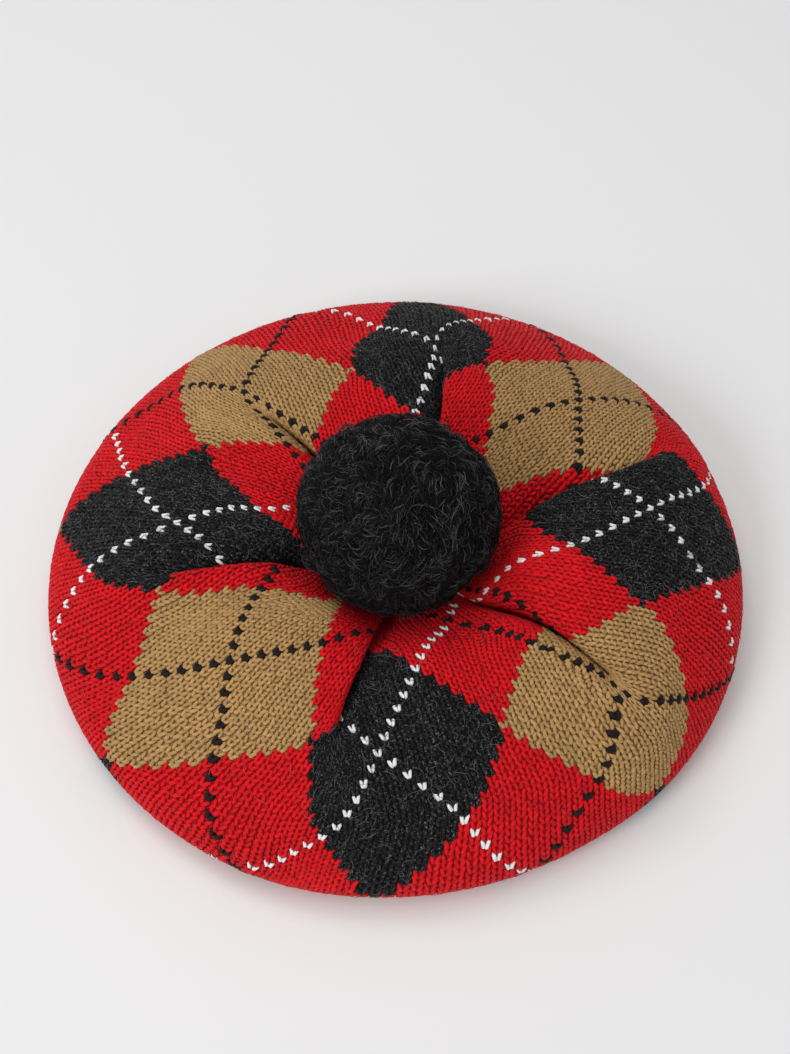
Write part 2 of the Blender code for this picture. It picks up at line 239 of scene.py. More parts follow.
def section(course, column):
    """One column of the crown's section table at any course, on a smooth curve."""
    xs = np.array([row[0] for row in SECTIONS], float)
    ys = np.array([row[SECTION_COLUMNS.index(column)] for row in SECTIONS], float)
    slope = np.gradient(ys, xs)
    i = int(np.clip(np.searchsorted(xs, course, side="right") - 1, 0, len(xs) - 2))
    step = xs[i + 1] - xs[i]
    t = min(max((course - xs[i]) / step, 0.0), 1.0)
    start = (1 + 2 * t) * (1 - t) ** 2 * ys[i] + t * (1 - t) ** 2 * step * slope[i]
    end = t * t * (3 - 2 * t) * ys[i + 1] - t * t * (1 - t) * step * slope[i + 1]
    return start + end


def turn(angle):
    """An angle difference brought to within half a turn."""
    return (angle + 180.0) % 360.0 - 180.0


def turn_wales(wale):
    """A difference of wales brought to within half the round."""
    return (wale + WALES / 2) % WALES - WALES / 2


def rim_reach(course, angle):
    """How far the rim stands out of its circle at each angle."""
    reach = np.zeros_like(angle)
    for row in rows(RIM_COLUMNS, RIM):
        gap = turn(np.degrees(angle) - row["angle"])
        reach += row["reach"] * MM * np.exp(-(gap / row["half_angle"]) ** 2)
    return reach * within(course, *RIM_COURSES)


def folds_at(course):
    """Place, width and depth of each fold where it crosses one course."""
    inward = min(max((OUTER_COURSE - course) / (OUTER_COURSE - INNER_COURSE), 0.0), 1.0)
    hold = ease((HELD_COURSES - course) / HELD_COURSES)
    narrow = min(FOLD_HALF, FOLD_SHARE * section(course, "radius") * MM)
    opening = ease((course + MOUTH_COURSES) / MOUTH_COURSES)
    emerging = ease((course - FIRST_COURSE) / GATHER_COURSES)
    deepest = max(section(course, "deepest"), 0.0) * MM
    found = []
    for row in rows(FOLD_COLUMNS, FOLDS):
        wale = row["wale_in"] * inward + row["wale_out"] * (1.0 - inward)
        angle = row["angle_out"] + turn(row["angle_in"] - row["angle_out"]) * inward
        free = FRONT_ANGLE + wale * 360.0 / WALES
        free += RIM_CROWDING * math.cos(math.radians(free))
        grown = max((row["fade"] - course) / (row["fade"] - INNER_COURSE), 0.0) ** FOLD_GROWTH
        hidden = row["hidden"] * grown * emerging
        mouth = narrow + (row["wide"] * MM - FOLD_HALF) * opening
        run = mouth + hidden * YARN_PITCH / 2.0
        depth = math.sqrt(run * run - mouth * mouth)
        depth = deepest * math.tanh(depth / deepest) if deepest > 0.0 else 0.0
        ends = row["fade"] - FOLD_TAIL - (SOFT_END if row["name"] == "front_left" else 0.0)
        depth *= ease((ends - course) / SINK_COURSES)
        found.append({
            "wale": wale, "angle": free + turn(angle - free) * hold, "hidden": hidden,
            "mouth": mouth, "depth": depth, "lean": row["lean"], "reach": row["reach"] * MM,
            "puff": row["puff"] * MM})
    return found


def panel_size(course, folds, index):
    """Visible wales and length of the ring between fold number index and the next one."""
    here = folds[index]
    after = folds[(index + 1) % len(folds)]
    wales = (after["wale"] - here["wale"]) % WALES - (after["hidden"] + here["hidden"]) / 2.0
    span = math.radians((after["angle"] - here["angle"]) % 360.0)
    flat = section(course, "flat")
    bend = span * (1.0 - flat) + 2.0 * math.tan(span / 2.0) * flat
    return wales, section(course, "radius") * MM * bend


def corner_radius(radius, folds, index):
    """Distance of the ring's corner at one fold when the ring is pulled straight."""
    before = folds[index - 1]["angle"]
    after = folds[(index + 1) % len(folds)]["angle"]
    return radius / math.cos(math.radians((after - before) % 360.0) / 4.0)


def panel_points(course, folds, index, share):
    """Points of the ring between two folds, before the folds are pressed in."""
    following = (index + 1) % len(folds)
    first = folds[index]["angle"]
    half = math.radians((folds[following]["angle"] - first) % 360.0) / 2.0
    radius = section(course, "radius") * MM
    flat = min(max(section(course, "flat"), 0.0), 1.0)
    start = corner_radius(radius, folds, index)
    end = corner_radius(radius, folds, following)
    across = math.sin(half) * (end * share - start * (1.0 - share))
    straight = np.arctan2(across, math.cos(half) * (end * share + start * (1.0 - share)))
    offset = straight * flat + half * (2.0 * share - 1.0) * (1.0 - flat)
    eased = np.hypot(half - np.abs(offset), CORNER_SOFT) - CORNER_SOFT
    eased /= math.hypot(half, CORNER_SOFT) - CORNER_SOFT
    near = np.copysign(half * (1.0 - eased), offset)
    line = start * np.sin(half + near) + end * np.sin(half - near)
    line = start * end * math.sin(2.0 * half) / line
    radius = radius * (1.0 - flat) + line * flat
    angle = math.radians(first) + half + offset
    return np.stack((np.cos(angle), np.sin(angle)), axis=-1) * radius[:, None]


def dent(course, wale):
    """Depth of the small hollows along one ring."""
    depth = np.zeros_like(wale)
    for row in rows(DENT_COLUMNS, DENTS):
        t = (course - row["first"]) / (row["last"] - row["first"])
        if 0.0 < t < 1.0:
            centre = row["wale_in"] + (row["wale_out"] - row["wale_in"]) * t
            shape = np.exp(-(turn_wales(wale - centre) / row["half_width"]) ** 2)
            depth += row["depth"] * MM * shape * ease(3 * t) * ease(3 * (1 - t))
    return depth


def face_direction(course):
    """Outward and upward parts of the direction that the unfolded face points in."""
    run = section(course + GRID_STEP, "radius") - section(course - GRID_STEP, "radius")
    rise = section(course + GRID_STEP, "height") - section(course - GRID_STEP, "height")
    if course <= FIRST_COURSE:
        rise = 0.0
    length = math.hypot(run, rise)
    return -rise / length, run / length


def stretches(course, folds, index):
    """Both sides of one fold's mouth and the cloth from there to the next fold.

    Each is the number of the fold it starts from, its shares of the way to the next fold, its
    wales from this fold, and its places across the mouth from -1 to 1.
    """
    fold, after = folds[index], folds[(index + 1) % len(folds)]
    wales_before, length_before = panel_size(course, folds, index - 1)
    wales_here, length_here = panel_size(course, folds, index)
    neck = 1.0 - (1.0 - FOLD_NECK) * ease(fold["depth"] / NECK_DEPTH)
    u = np.linspace(-1.0, 1.0, FOLD_SAMPLES)
    x = fold["mouth"] * (neck * u + (1.0 - neck) * u ** 3)
    left = x < 0.0
    first = 1.0 + x[left] / length_before
    second = x[~left] / length_here
    third = np.linspace(
        fold["mouth"] / length_here, 1.0 - after["mouth"] / length_here, PANEL_SAMPLES)[1:-1]
    return (
        (index - 1, first, (first - 1.0) * wales_before, u[left]),
        (index, second, second * wales_here, u[~left]),
        (index, third, third * wales_here, np.ones(len(third))))


def ring(course, wanted):
    """Points of one ring of the crown's outer face at the wanted wales, and how deep they lie."""
    folds = folds_at(course)
    up_r, up_z = face_direction(course)
    height = section(course, "height") * MM
    centre = np.array((section(course, "east"), section(course, "north"))) * MM
    reach_here = within(course, *REACH_COURSES)
    puff_here = within(course, *PUFF_COURSES)
    wales, points, depths = [], [], []
    for index, fold in enumerate(folds):
        for panel, share, offset, u in stretches(course, folds, index):
            place = panel_points(course, folds, panel % len(folds), share)
            out = unit(place)
            place = place + out * rim_reach(course, np.arctan2(out[:, 1], out[:, 0]))[:, None]
            for other in folds:
                if other["reach"] > 0.0:
                    gap = turn_wales(offset + fold["wale"] - other["wale"])
                    push = other["reach"] * reach_here * np.exp(-(gap / REACH_WALES) ** 2)
                    place = place + out * push[:, None]
            inside = (1.0 - u * u) ** 2
            plain = fold["wale"] + offset + np.sign(u) * fold["hidden"] / 2
            pressed = fold["depth"] * inside
            side = -fold["lean"] * pressed
            lift = folds[panel]["puff"] * 4.0 * share * (1.0 - share) * puff_here
            lift = lift - pressed - dent(course, plain) * (1.0 - inside)
            x_place = centre[0] + place[:, 0] + out[:, 0] * up_r * lift - out[:, 1] * side
            y_place = centre[1] + place[:, 1] + out[:, 1] * up_r * lift + out[:, 0] * side
            z_place = np.maximum(height + up_z * lift, 0.0)
            wales.append(fold["wale"] + offset + fold["hidden"] / 2 * np.sin(np.pi * u / 2))
            points.append(np.stack((x_place, y_place, z_place), axis=-1))
            depths.append(pressed)
    wale = np.concatenate(wales)
    base = wale[0]
    wale = (wale - base) % WALES
    order = np.argsort(wale, kind="stable")
    wale = wale[order]
    data = np.column_stack((np.concatenate(points), np.concatenate(depths)))[order]
    wale = np.concatenate((wale[-1:] - WALES, wale, wale[:1] + WALES))
    data = np.concatenate((data[-1:], data, data[:1]))
    at = (wanted - base) % WALES
    return np.column_stack([np.interp(at, wale, data[:, k]) for k in range(4)])


def eased(wale, course):
    """Where a stitch of the chart lies on the even spread of the form."""
    moved_wale, moved_course = wale, course
    for row in rows(EASE_COLUMNS, EASES):
        across = turn_wales(wale - row["wale"]) / row["half_wales"]
        along = (course - row["course"]) / row["half_courses"]
        share = np.exp(-across * across - along * along)
        moved_wale = moved_wale + row["wales_moved"] * share
        moved_course = moved_course + row["courses_moved"] * share
    return moved_wale, moved_course


class Form:
    """The crown's outer face as a fine grid over wales and courses."""

    def __init__(self):
        self.columns = int(round(WALES / GRID_STEP))
        self.lines = int(round((LAST_COURSE - FIRST_COURSE) / GRID_STEP)) + 1
        wanted = np.arange(self.columns) * GRID_STEP
        courses = FIRST_COURSE + np.arange(self.lines) * GRID_STEP
        data = np.array([ring(c, wanted) for c in courses])
        self.points = data[:, :, :3]
        self.depth = data[:, :, 3]
        around = np.roll(self.points, -1, axis=1) - np.roll(self.points, 1, axis=1)
        along = np.gradient(self.points, axis=0) * 2.0
        self.normals = unit(np.cross(along, around))
        self.wale_width = np.linalg.norm(around, axis=2) / (2.0 * GRID_STEP)

    def look_up(self, table, wale, course):
        """Values of one table of the grid at any wale and course."""
        x = (wale / GRID_STEP) % self.columns
        y = np.clip((course - FIRST_COURSE) / GRID_STEP, 0.0, self.lines - 1.001)
        i, j = np.floor(x).astype(int), np.floor(y).astype(int)
        fx, fy = x - i, y - j
        i = i % self.columns
        k = (i + 1) % self.columns
        if table.ndim == 3:
            fx, fy = fx[..., None], fy[..., None]
        low = table[j, i] * (1 - fx) + table[j, k] * fx
        high = table[j + 1, i] * (1 - fx) + table[j + 1, k] * fx
        return low * (1 - fy) + high * fy

    def place(self, wale, course, height):
        """Points of the chart at a height over the face, and the face's normals there."""
        wale, course = eased(wale, course)
        normal = unit(self.look_up(self.normals, wale, course))
        return self.look_up(self.points, wale, course) + normal * height[..., None], normal


FORM = Form()

# ---- The knitting chart ----
DIAMOND_WALES = 24
DIAMOND_HALF = 12
ROW_COURSES = 48
GATHER_COURSE = -25         # nearer the gather the diamonds stop and the ground goes on
GROUND, CHARCOAL, CAMEL, WHITE, DARK = range(5)


def chart(wale, course):
    """Which yarn knits each stitch."""
    column = np.floor((wale + DIAMOND_HALF) / DIAMOND_WALES)
    across = wale - column * DIAMOND_WALES
    tier = np.floor((course + ROW_COURSES / 2) / ROW_COURSES)
    up = course - tier * ROW_COURSES
    odd = (column + tier) % 2
    yarn = np.full(wale.shape, GROUND)
    inside = (np.abs(across) + np.abs(up) / 2 <= DIAMOND_HALF) & (course > GATHER_COURSE)
    yarn[inside] = np.where(odd == 1, CAMEL, CHARCOAL)[inside]
    line = (np.abs(up) == 2 * np.abs(across))
    yarn[line] = np.where(odd == 1, DARK, WHITE)[line]
    return yarn


# ---- Meshes ----
def linked(name, data):
    """A new object in the scene."""
    item = bpy.data.objects.new(name, data)
    bpy.context.scene.collection.objects.link(item)
    return item


def mesh_piece(name, points, sizes, corners, layers=(), tone=None):
    """A smooth mesh piece from flat arrays. layers are (name, corner coordinates) UV maps."""
    mesh = bpy.data.meshes.new(name)
    mesh.vertices.add(len(points))
    mesh.vertices.foreach_set("co", np.asarray(points, np.float32).ravel())
    mesh.loops.add(len(corners))
    mesh.loops.foreach_set("vertex_index", np.asarray(corners, np.int32))
    mesh.polygons.add(len(sizes))
    starts = np.concatenate(([0], np.cumsum(sizes)[:-1]))
    mesh.polygons.foreach_set("loop_start", starts.astype(np.int32))
    mesh.polygons.foreach_set("loop_total", np.asarray(sizes, np.int32))
    mesh.polygons.foreach_set("use_smooth", np.ones(len(sizes), bool))
    for layer_name, uv in layers:
        layer = mesh.uv_layers.new(name=layer_name)
        layer.uv.foreach_set("vector", np.asarray(uv, np.float32).ravel())
    if tone is not None:
        attribute = mesh.attributes.new("tone", "FLOAT", "POINT")
        attribute.data.foreach_set("value", np.asarray(tone, np.float32))
    mesh.update(calc_edges=True)
    mesh.validate()
    piece = linked(name, mesh)
    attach(piece, "root")
    return piece


def repeat(faces, points_each, copies):
    """Sizes and corners of many copies of one small template."""
    sizes = np.tile([len(face) for face in faces], copies)
    flat = np.concatenate([np.array(face) for face in faces])
    shift = np.arange(copies)[:, None] * points_each
    return sizes, (flat[None, :] + shift).ravel()


def ring_quads(first, second, columns):
    """Corners of the quads between two closed rings of points."""
    j = np.arange(columns)
    k = (j + 1) % columns
    return np.stack((first + j, second + j, second + k, first + k), axis=-1)


def grid_faces(lines, columns, start=0):
    """Corners of the quads between all the rings of a grid."""
    rings = start + columns * np.arange(lines)
    return np.concatenate([ring_quads(a, a + columns, columns) for a in rings[:-1]])


def fan(pole, first, columns):
    """Corners of the triangles from one point to a closed ring."""
    j = np.arange(columns)
    return np.stack((np.full(columns, pole), first + j, first + (j + 1) % columns), axis=-1)


def joined(*groups):
    """Sizes and corners of several groups of faces."""
    sizes = np.concatenate([np.full(len(group), group.shape[1]) for group in groups])
    return sizes, np.concatenate([group.ravel() for group in groups])


# One leg of a stitch is a plump spindle, flat underneath: rings between two tips. Each ring's
# shares of the leg's length, of its half width and of its height.
LEG_RINGS = (
    (0.24, 0.88, 0.86),
    (0.76, 1.00, 1.00),
)
# Points of one ring of a leg, as shares of its half width: to the side, and how high
LEG_SECTION = ((-1.0, -0.35), (-0.5, 1.0), (0.5, 1.0), (1.0, -0.35))
PLAIN_SECTION = ((-1.0, -0.35), (0.0, 1.15), (1.0, -0.35))
LEG_TOP = 0.44              # wales from the middle of the stitch at the leg's upper end
LEG_TIP = 0.04              # and at its tip
LEG_RISE = -0.84            # courses from the middle of the stitch at the leg's upper end
LEG_FALL = 0.86             # and at its tip
LEG_FLAT = 0.72             # height of a leg for its width
LEG_MIDDLE = 0.37           # the leg's ridge on its yarn map, across
LEG_ARCH = (0.10, 0.82)     # where on a half wave a leg starts and how much of it it covers
LEG_CELL = (0.03, 0.44)     # margin and width of a leg on the bake map, in wales
LEG_TIER = (0.04, 0.92)     # margin and height of a leg there, in courses
STITCH_JITTER = (0.03, 0.06, 0.05, 0.07)    # wales, courses, share of height, share of width
YARN_MAPS = 97.0            # places on the yarn map that legs start from


def leg_template(sides):
    """Faces of one leg and, for each corner, its place across and along the leg."""
    last = 1 + sides * len(LEG_RINGS)
    along = [row[0] for row in LEG_RINGS]
    cross = np.linspace(0.0, 1.0, sides + 1)
    faces, uv = [], []
    for k in range(sides):
        faces.append((0, 1 + k, 1 + (k + 1) % sides))
        middle = (cross[k] + cross[k + 1]) / 2
        uv += [(middle, 0.0), (cross[k], along[0]), (cross[k + 1], along[0])]
    for r in range(len(LEG_RINGS) - 1):
        for k in range(sides):
            a, b = 1 + r * sides + k, 1 + r * sides + (k + 1) % sides
            faces.append((a, a + sides, b + sides, b))
            uv += [(cross[k], along[r]), (cross[k], along[r + 1]),
                   (cross[k + 1], along[r + 1]), (cross[k + 1], along[r])]
    base = 1 + (len(LEG_RINGS) - 1) * sides
    for k in range(sides):
        faces.append((base + k, last, base + (k + 1) % sides))
        middle = (cross[k] + cross[k + 1]) / 2
        uv += [(cross[k], along[-1]), (middle, 1.0), (cross[k + 1], along[-1])]
    return faces, last + 1, np.array(uv)


def legs(wale, course, hand, look, rng, section_points):
    """Points of all legs of the given stitches, as rows of leg points, and their tones."""
    n = len(wale)
    aside, down, higher, wider = rng.normal(0.0, 1.0, (n, 4)).T * np.array(STITCH_JITTER)[:, None]
    stations = np.array([0.0] + [row[0] for row in LEG_RINGS] + [1.0])
    across = LEG_TOP + (LEG_TIP - LEG_TOP) * stations ** look["bow"]
    along = LEG_RISE + (LEG_FALL - LEG_RISE) * stations
    w = wale[:, None] + hand[:, None] * across * look["spread"] + aside[:, None]
    c = course[:, None] + along + down[:, None]
    arch = np.sin(np.pi * (LEG_ARCH[0] + LEG_ARCH[1] * stations))
    lift = look["loft"] * arch - look["sink"]
    lift = lift[None, :] * (1.0 + higher[:, None])
    spine, normal = FORM.place(w, c, lift)
    run = unit(spine[:, -1] - spine[:, 0])
    side = unit(np.cross(normal, run[:, None, :]))
    width = np.clip(FORM.look_up(FORM.wale_width, *eased(wale, course)) / YARN_PITCH, 0.4, 1.3)
    half = look["half"] * width ** 0.6 * (1.0 + wider)
    count = len(section_points)
    out = np.empty((n, 2 + len(LEG_RINGS) * count, 3))
    out[:, 0] = spine[:, 0]
    out[:, -1] = spine[:, -1]
    for r, (_, broad, high) in enumerate(LEG_RINGS):
        for k, (shift, rise) in enumerate(section_points):
            point = spine[:, r + 1] + side[:, r + 1] * (shift * broad * half)[:, None]
            point = point + normal[:, r + 1] * (rise * high * half * LEG_FLAT)[:, None]
            out[:, 1 + r * count + k] = point
    out[..., 2] = np.maximum(out[..., 2], 0.0)
    return out, rng.uniform(0.0, 1.0, n)


def leg_layers(uv, wale, course, hand, first, last, tone):
    """Bake map, half a wale by one course for each leg, and the yarn's own map."""
    n = len(wale)
    span = last - first + 1.0
    low = wale.min()
    cell = (wale - low) + 0.5 + 0.5 * (hand - 1.0) * 0.5
    across = LEG_CELL[0] + LEG_CELL[1] * uv[None, :, 0]
    along = LEG_TIER[0] + LEG_TIER[1] * uv[None, :, 1]
    bake = np.empty((n, len(uv), 2))
    bake[..., 0] = (cell[:, None] + across) / (wale.max() - low + 1.5)
    bake[..., 1] = (course[:, None] - first + along) / span
    yarn = np.empty((n, len(uv), 2))
    yarn[..., 0] = uv[None, :, 0] + np.floor(tone * YARN_MAPS)[:, None]
    yarn[..., 1] = uv[None, :, 1]
    return (("OFBake", bake.reshape(-1, 2)), ("Yarn", yarn.reshape(-1, 2)))


# ---- Materials ----
class Value:
    """One socket that can be used in a plain expression."""

    def __init__(self, shader, socket):
        self.shader, self.socket = shader, socket

    def maths(self, operation, *others):
        """A Math node on this value and others."""
        inputs = dict(enumerate((self,) + others))
        return self.shader.add("ShaderNodeMath", {"operation": operation}, inputs)

    def reflected(self, operation, other):
        """A Math node on another value and this one."""
        return self.shader.add("ShaderNodeMath", {"operation": operation}, {0: other, 1: self})

    def __add__(self, other):
        return self.maths("ADD", other)

    def __radd__(self, other):
        return self.maths("ADD", other)

    def __sub__(self, other):
        return self.maths("SUBTRACT", other)

    def __rsub__(self, other):
        return self.reflected("SUBTRACT", other)

    def __mul__(self, other):
        return self.maths("MULTIPLY", other)

    def __rmul__(self, other):
        return self.maths("MULTIPLY", other)

    def __truediv__(self, other):
        return self.maths("DIVIDE", other)

    def __rtruediv__(self, other):
        return self.reflected("DIVIDE", other)

    def ramp(self, low, high):
        """0 below low, 1 above high, smooth between."""
        settings = {"interpolation_type": "SMOOTHSTEP"}
        return self.shader.add("ShaderNodeMapRange", settings, {0: self, 1: low, 2: high})


class Shader:
    """A material's node tree, written as expressions."""

    def __init__(self, name):
        self.material = bpy.data.materials.new(name)
        self.material.use_nodes = True
        self.tree = self.material.node_tree
        self.surface = self.tree.nodes["Principled BSDF"]

    def add(self, kind, settings=None, inputs=None, output=0):
        """A node of one type with its settings and inputs. Returns one of its outputs."""
        node = self.tree.nodes.new(kind)
        for key, value in (settings or {}).items():
            setattr(node, key, value)
        for key, value in (inputs or {}).items():
            self.plug(node.inputs[key], value)
        return Value(self, node.outputs[output])

    def plug(self, socket, value):
        """Link a value, or set a plain number or colour."""
        if isinstance(value, Value):
            self.tree.links.new(value.socket, socket)
        else:
            socket.default_value = value

    def mix(self, share, first, second, blend="MIX"):
        """A mix of two colours."""
        settings = {"data_type": "RGBA", "blend_type": blend, "clamp_factor": True}
        return self.add("ShaderNodeMix", settings, {0: share, 6: first, 7: second}, output=2)

    def noise(self, vector, scale, detail=2.0, rough=0.55):
        """Noise at one scale, as a value."""
        inputs = {"Vector": vector, "Scale": scale, "Detail": detail, "Roughness": rough}
        return self.add("ShaderNodeTexNoise", {"noise_dimensions": "3D"}, inputs)

    def place(self):
        """The place on the piece, in metres."""
        return self.add("ShaderNodeTexCoord", output=3)

    def uv_map(self, name):
        """The place on one of the piece's UV maps."""
        return self.add("ShaderNodeUVMap", {"uv_map": name})

    def tone(self):
        """The number that each stitch, strand or fibre carries."""
        return self.add("ShaderNodeAttribute", {"attribute_name": "tone"}, output=2)

    def split(self, vector):
        """The three numbers of a vector."""
        node = self.add("ShaderNodeSeparateXYZ", None, {0: vector}).socket.node
        return [Value(self, socket) for socket in node.outputs]

    def bump(self, height, strength, distance):
        """A normal that follows a height."""
        inputs = {"Strength": strength, "Distance": distance, "Height": height}
        return self.add("ShaderNodeBump", None, inputs)

    def finish(self, colour, roughness, sheen, sheen_roughness, normal=None, specular=0.12):
        """Fill in the surface shader."""
        self.plug(self.surface.inputs["Base Color"], colour)
        self.plug(self.surface.inputs["Roughness"], roughness)
        self.plug(self.surface.inputs["Sheen Weight"], sheen)
        self.plug(self.surface.inputs["Sheen Roughness"], sheen_roughness)
        self.plug(self.surface.inputs["Specular IOR Level"], specular)
        if normal is not None:
            self.plug(self.surface.inputs["Normal"], normal)
        return self.material


def rgb(colour, factor=1.0):
    """A colour with alpha, made lighter or darker."""
    return tuple(min(1.0, c * factor) for c in colour[:3]) + (1.0,)


CHART_EVEN = 512.0          # keeps the numbers of the chart's diamonds above zero

# How each yarn looks: its share of flecks, its sheen, how much its stitches differ in tone, how
# dark its darker fibres are, and how far the sides and ends of its legs are darkened as painted
# shade.
YARN_COLUMNS = ("name", "flecks", "sheen", "mottle", "low", "edge")
YARNS = (
    ("red", 0.27, 0.03, 0.26, 0.50, 0.55),
    ("charcoal", 0.48, 0.03, 0.90, 0.50, 0.35),
    ("camel", 0.36, 0.05, 0.26, 0.50, 0.55),
    ("white", 0.30, 0.05, 0.15, 0.80, 0.55),
    ("dark", 0.30, 0.03, 0.26, 0.50, 0.55),
)
FIBRE_STRETCH = (9.0, 2.2, 1.0)     # how much closer fibres lie across a leg than along it
PLIES = (11.0, 6.0)         # waves of the plies along a leg and across it
RED_FLECK = (0.84, 0.05, 0.06)
CAMEL_FLECK = (0.78, 0.58, 0.34)
WHITE_FLECK = (0.97, 0.95, 0.94)
DARK_FLECK = (0.08, 0.04, 0.04)


def yarn_material(look, colour, fleck):
    """Wool yarn: plies, fine fibres, flecks, stitches that differ a little in tone, and painted
    shade at the legs' sides and ends.
    """
    s = Shader(look["name"] + "_wool")
    place = s.place()
    yarn_map = s.uv_map("Yarn")
    across, along, _ = s.split(yarn_map)
    tone = s.tone()
    broad = s.noise(place, scale=28.0)
    fibre_at = s.add("ShaderNodeMapping", None, {"Vector": yarn_map, "Scale": FIBRE_STRETCH})
    fibre = s.noise(fibre_at, scale=1.6, detail=3.0, rough=0.65)
    ply = (along * PLIES[0] + across * PLIES[1]).maths("SINE")
    light = (fibre - 0.5) * 0.75 + (tone - 0.5) * look["mottle"] + (broad - 0.5) * 0.25
    light = light + ply * 0.10
    share = (light + 0.5).maths("MINIMUM", 1.0).maths("MAXIMUM", 0.0)
    shade = s.mix(share, rgb(colour, look["low"]), rgb(colour, 2.0 - look["low"]))
    # painted shade: each leg gets darker towards its sides and its ends, where the legs meet each
    # other and the cloth
    sides = (across.maths("FRACT") - LEG_MIDDLE).maths("ABSOLUTE").ramp(0.14, 0.40)
    ends = (along - 0.5).maths("ABSOLUTE").ramp(0.26, 0.50)
    edges = sides.maths("MAXIMUM", ends) * look["edge"]
    shade = s.mix(edges, shade, rgb(colour, look["low"] * 0.5))
    spots = s.noise(place, scale=1500.0, rough=0.6)
    mask = (spots * 0.55 + fibre * 0.45).ramp(1.0 - look["flecks"], 1.10 - look["flecks"])
    shade = s.mix(mask * (tone * 0.8 + 0.2), shade, rgb(fleck))
    bump = s.bump(ply * 0.5 + fibre * 1.3, strength=0.6, distance=0.25 * MM)
    return s.finish(
        shade, roughness=0.62, sheen=look["sheen"], sheen_roughness=0.45, normal=bump,
        specular=0.15)


def chart_material(name, colours, painted_gap_shade, rib):
    """The cloth under the stitches, coloured by the same chart and darkened as painted shade in
    the gaps.
    """
    s = Shader(name)
    round_it, down_it, _ = s.split(s.uv_map("Chart"))
    wale = (round_it + 0.5).maths("FLOOR")
    course = (down_it + 0.5).maths("FLOOR")
    column = ((wale + DIAMOND_HALF) / DIAMOND_WALES).maths("FLOOR")
    tier = ((course + ROW_COURSES / 2) / ROW_COURSES).maths("FLOOR")
    across = (wale - column * DIAMOND_WALES).maths("ABSOLUTE")
    up = (course - tier * ROW_COURSES).maths("ABSOLUTE")
    odd = (column + tier + CHART_EVEN).maths("MODULO", 2.0)
    inside = (across + up * 0.5).maths("LESS_THAN", DIAMOND_HALF + 0.1)
    inside = inside * course.maths("GREATER_THAN", GATHER_COURSE + 0.1)
    place = s.place()
    grain = s.noise(place, scale=900.0, detail=3.0, rough=0.6)
    diamond = s.mix(odd, rgb(colours["charcoal"], painted_gap_shade), rgb(colours["camel"], painted_gap_shade))
    shade = s.mix(inside, rgb(colours["red"], painted_gap_shade), diamond)
    shade = s.mix((grain - 0.35) * 1.2, shade, (0.0, 0.0, 0.0, 1.0))
    waves = (down_it * 2.0 * math.pi).maths("SINE")
    columns = (round_it * 2.0 * math.pi).maths("SINE")
    relief = waves * rib + columns * 0.3 + grain * 0.4
    bump = s.bump(relief, strength=0.7, distance=0.6 * MM)
    return s.finish(shade, roughness=0.92, sheen=0.25, sheen_roughness=0.5, normal=bump)


def plain_wool(name, colour, fleck, share, scale, sheen):
    """Loose wool without a yarn map, such as the pompom and the band."""
    s = Shader(name)
    place = s.place()
    fine = s.noise(place, scale, detail=3.0, rough=0.65)
    broad = s.noise(place, scale * 0.06)
    light = (fine - 0.5) * 0.9 + (broad - 0.5) * 0.5
    shade = s.mix((light + 0.5).maths("MINIMUM", 1.0), rgb(colour, 0.55), rgb(colour, 1.45))
    mask = s.noise(place, scale * 1.7).ramp(1.0 - share, 1.08 - share)
    shade = s.mix(mask * 0.8, shade, rgb(fleck))
    bump = s.bump(fine, strength=0.5, distance=0.3 * MM)
    return s.finish(shade, roughness=0.88, sheen=sheen, sheen_roughness=0.45, normal=bump)


def strand_material(name, colour, light, painted_shade_heights=None):
    """Single strands: each a little lighter or darker, and darker below a height if given, as
    painted shade.
    """
    s = Shader(name)
    tone = s.tone()
    place = s.place()
    fine = s.noise(place, scale=1400.0)
    share = tone.ramp(0.25, 1.05) * 0.8 + (fine - 0.5) * 0.35
    # painted shade: below the given heights the strands are darker, for the pompom's shadowed
    # underside
    if painted_shade_heights is not None:
        height = s.split(place)[2]
        share = share * (height.ramp(*painted_shade_heights) * 0.72 + 0.28)
    shade = s.mix(share.maths("MAXIMUM", 0.0), rgb(colour), rgb(light))
    bump = s.bump(fine, strength=0.3, distance=0.1 * MM)
    return s.finish(shade, roughness=0.7, sheen=0.05, sheen_roughness=0.4, normal=bump)


# ---- Settings ----
def colour_setting(name, description, value):
    """A colour that a user can change."""
    return FloatVectorProperty(
        name=name, description=description, subtype="COLOR", size=3, min=0.0, max=1.0,
        default=value)


def length_setting(name, description, value):
    """A length that a user can change."""
    return FloatProperty(
        name=name, description=description, unit="LENGTH", default=value, min=0.0)


class TamYarns(PropertyGroup):
    """Colours of the yarns."""

    red: colour_setting("Red", "Ground of the argyle", (0.66, 0.004, 0.010))
    charcoal: colour_setting("Charcoal", "Every other diamond", (0.0040, 0.0040, 0.0045))
    camel: colour_setting("Camel", "The diamonds between", (0.46, 0.270, 0.103))
    white: colour_setting("White", "Lines across the charcoal diamonds", (0.95, 0.93, 0.92))
    dark: colour_setting("Dark brown", "Lines across the camel diamonds", (0.014, 0.008, 0.009))
    pompom: colour_setting("Pompom", "The pompom's wool", (0.0020, 0.0018, 0.0021))
    pompom_light: colour_setting("Pompom light", "Its lightest strands", (0.140, 0.137, 0.146))
    fleck: colour_setting("Light fibres", "Fibres that catch the light", (0.17, 0.17, 0.18))


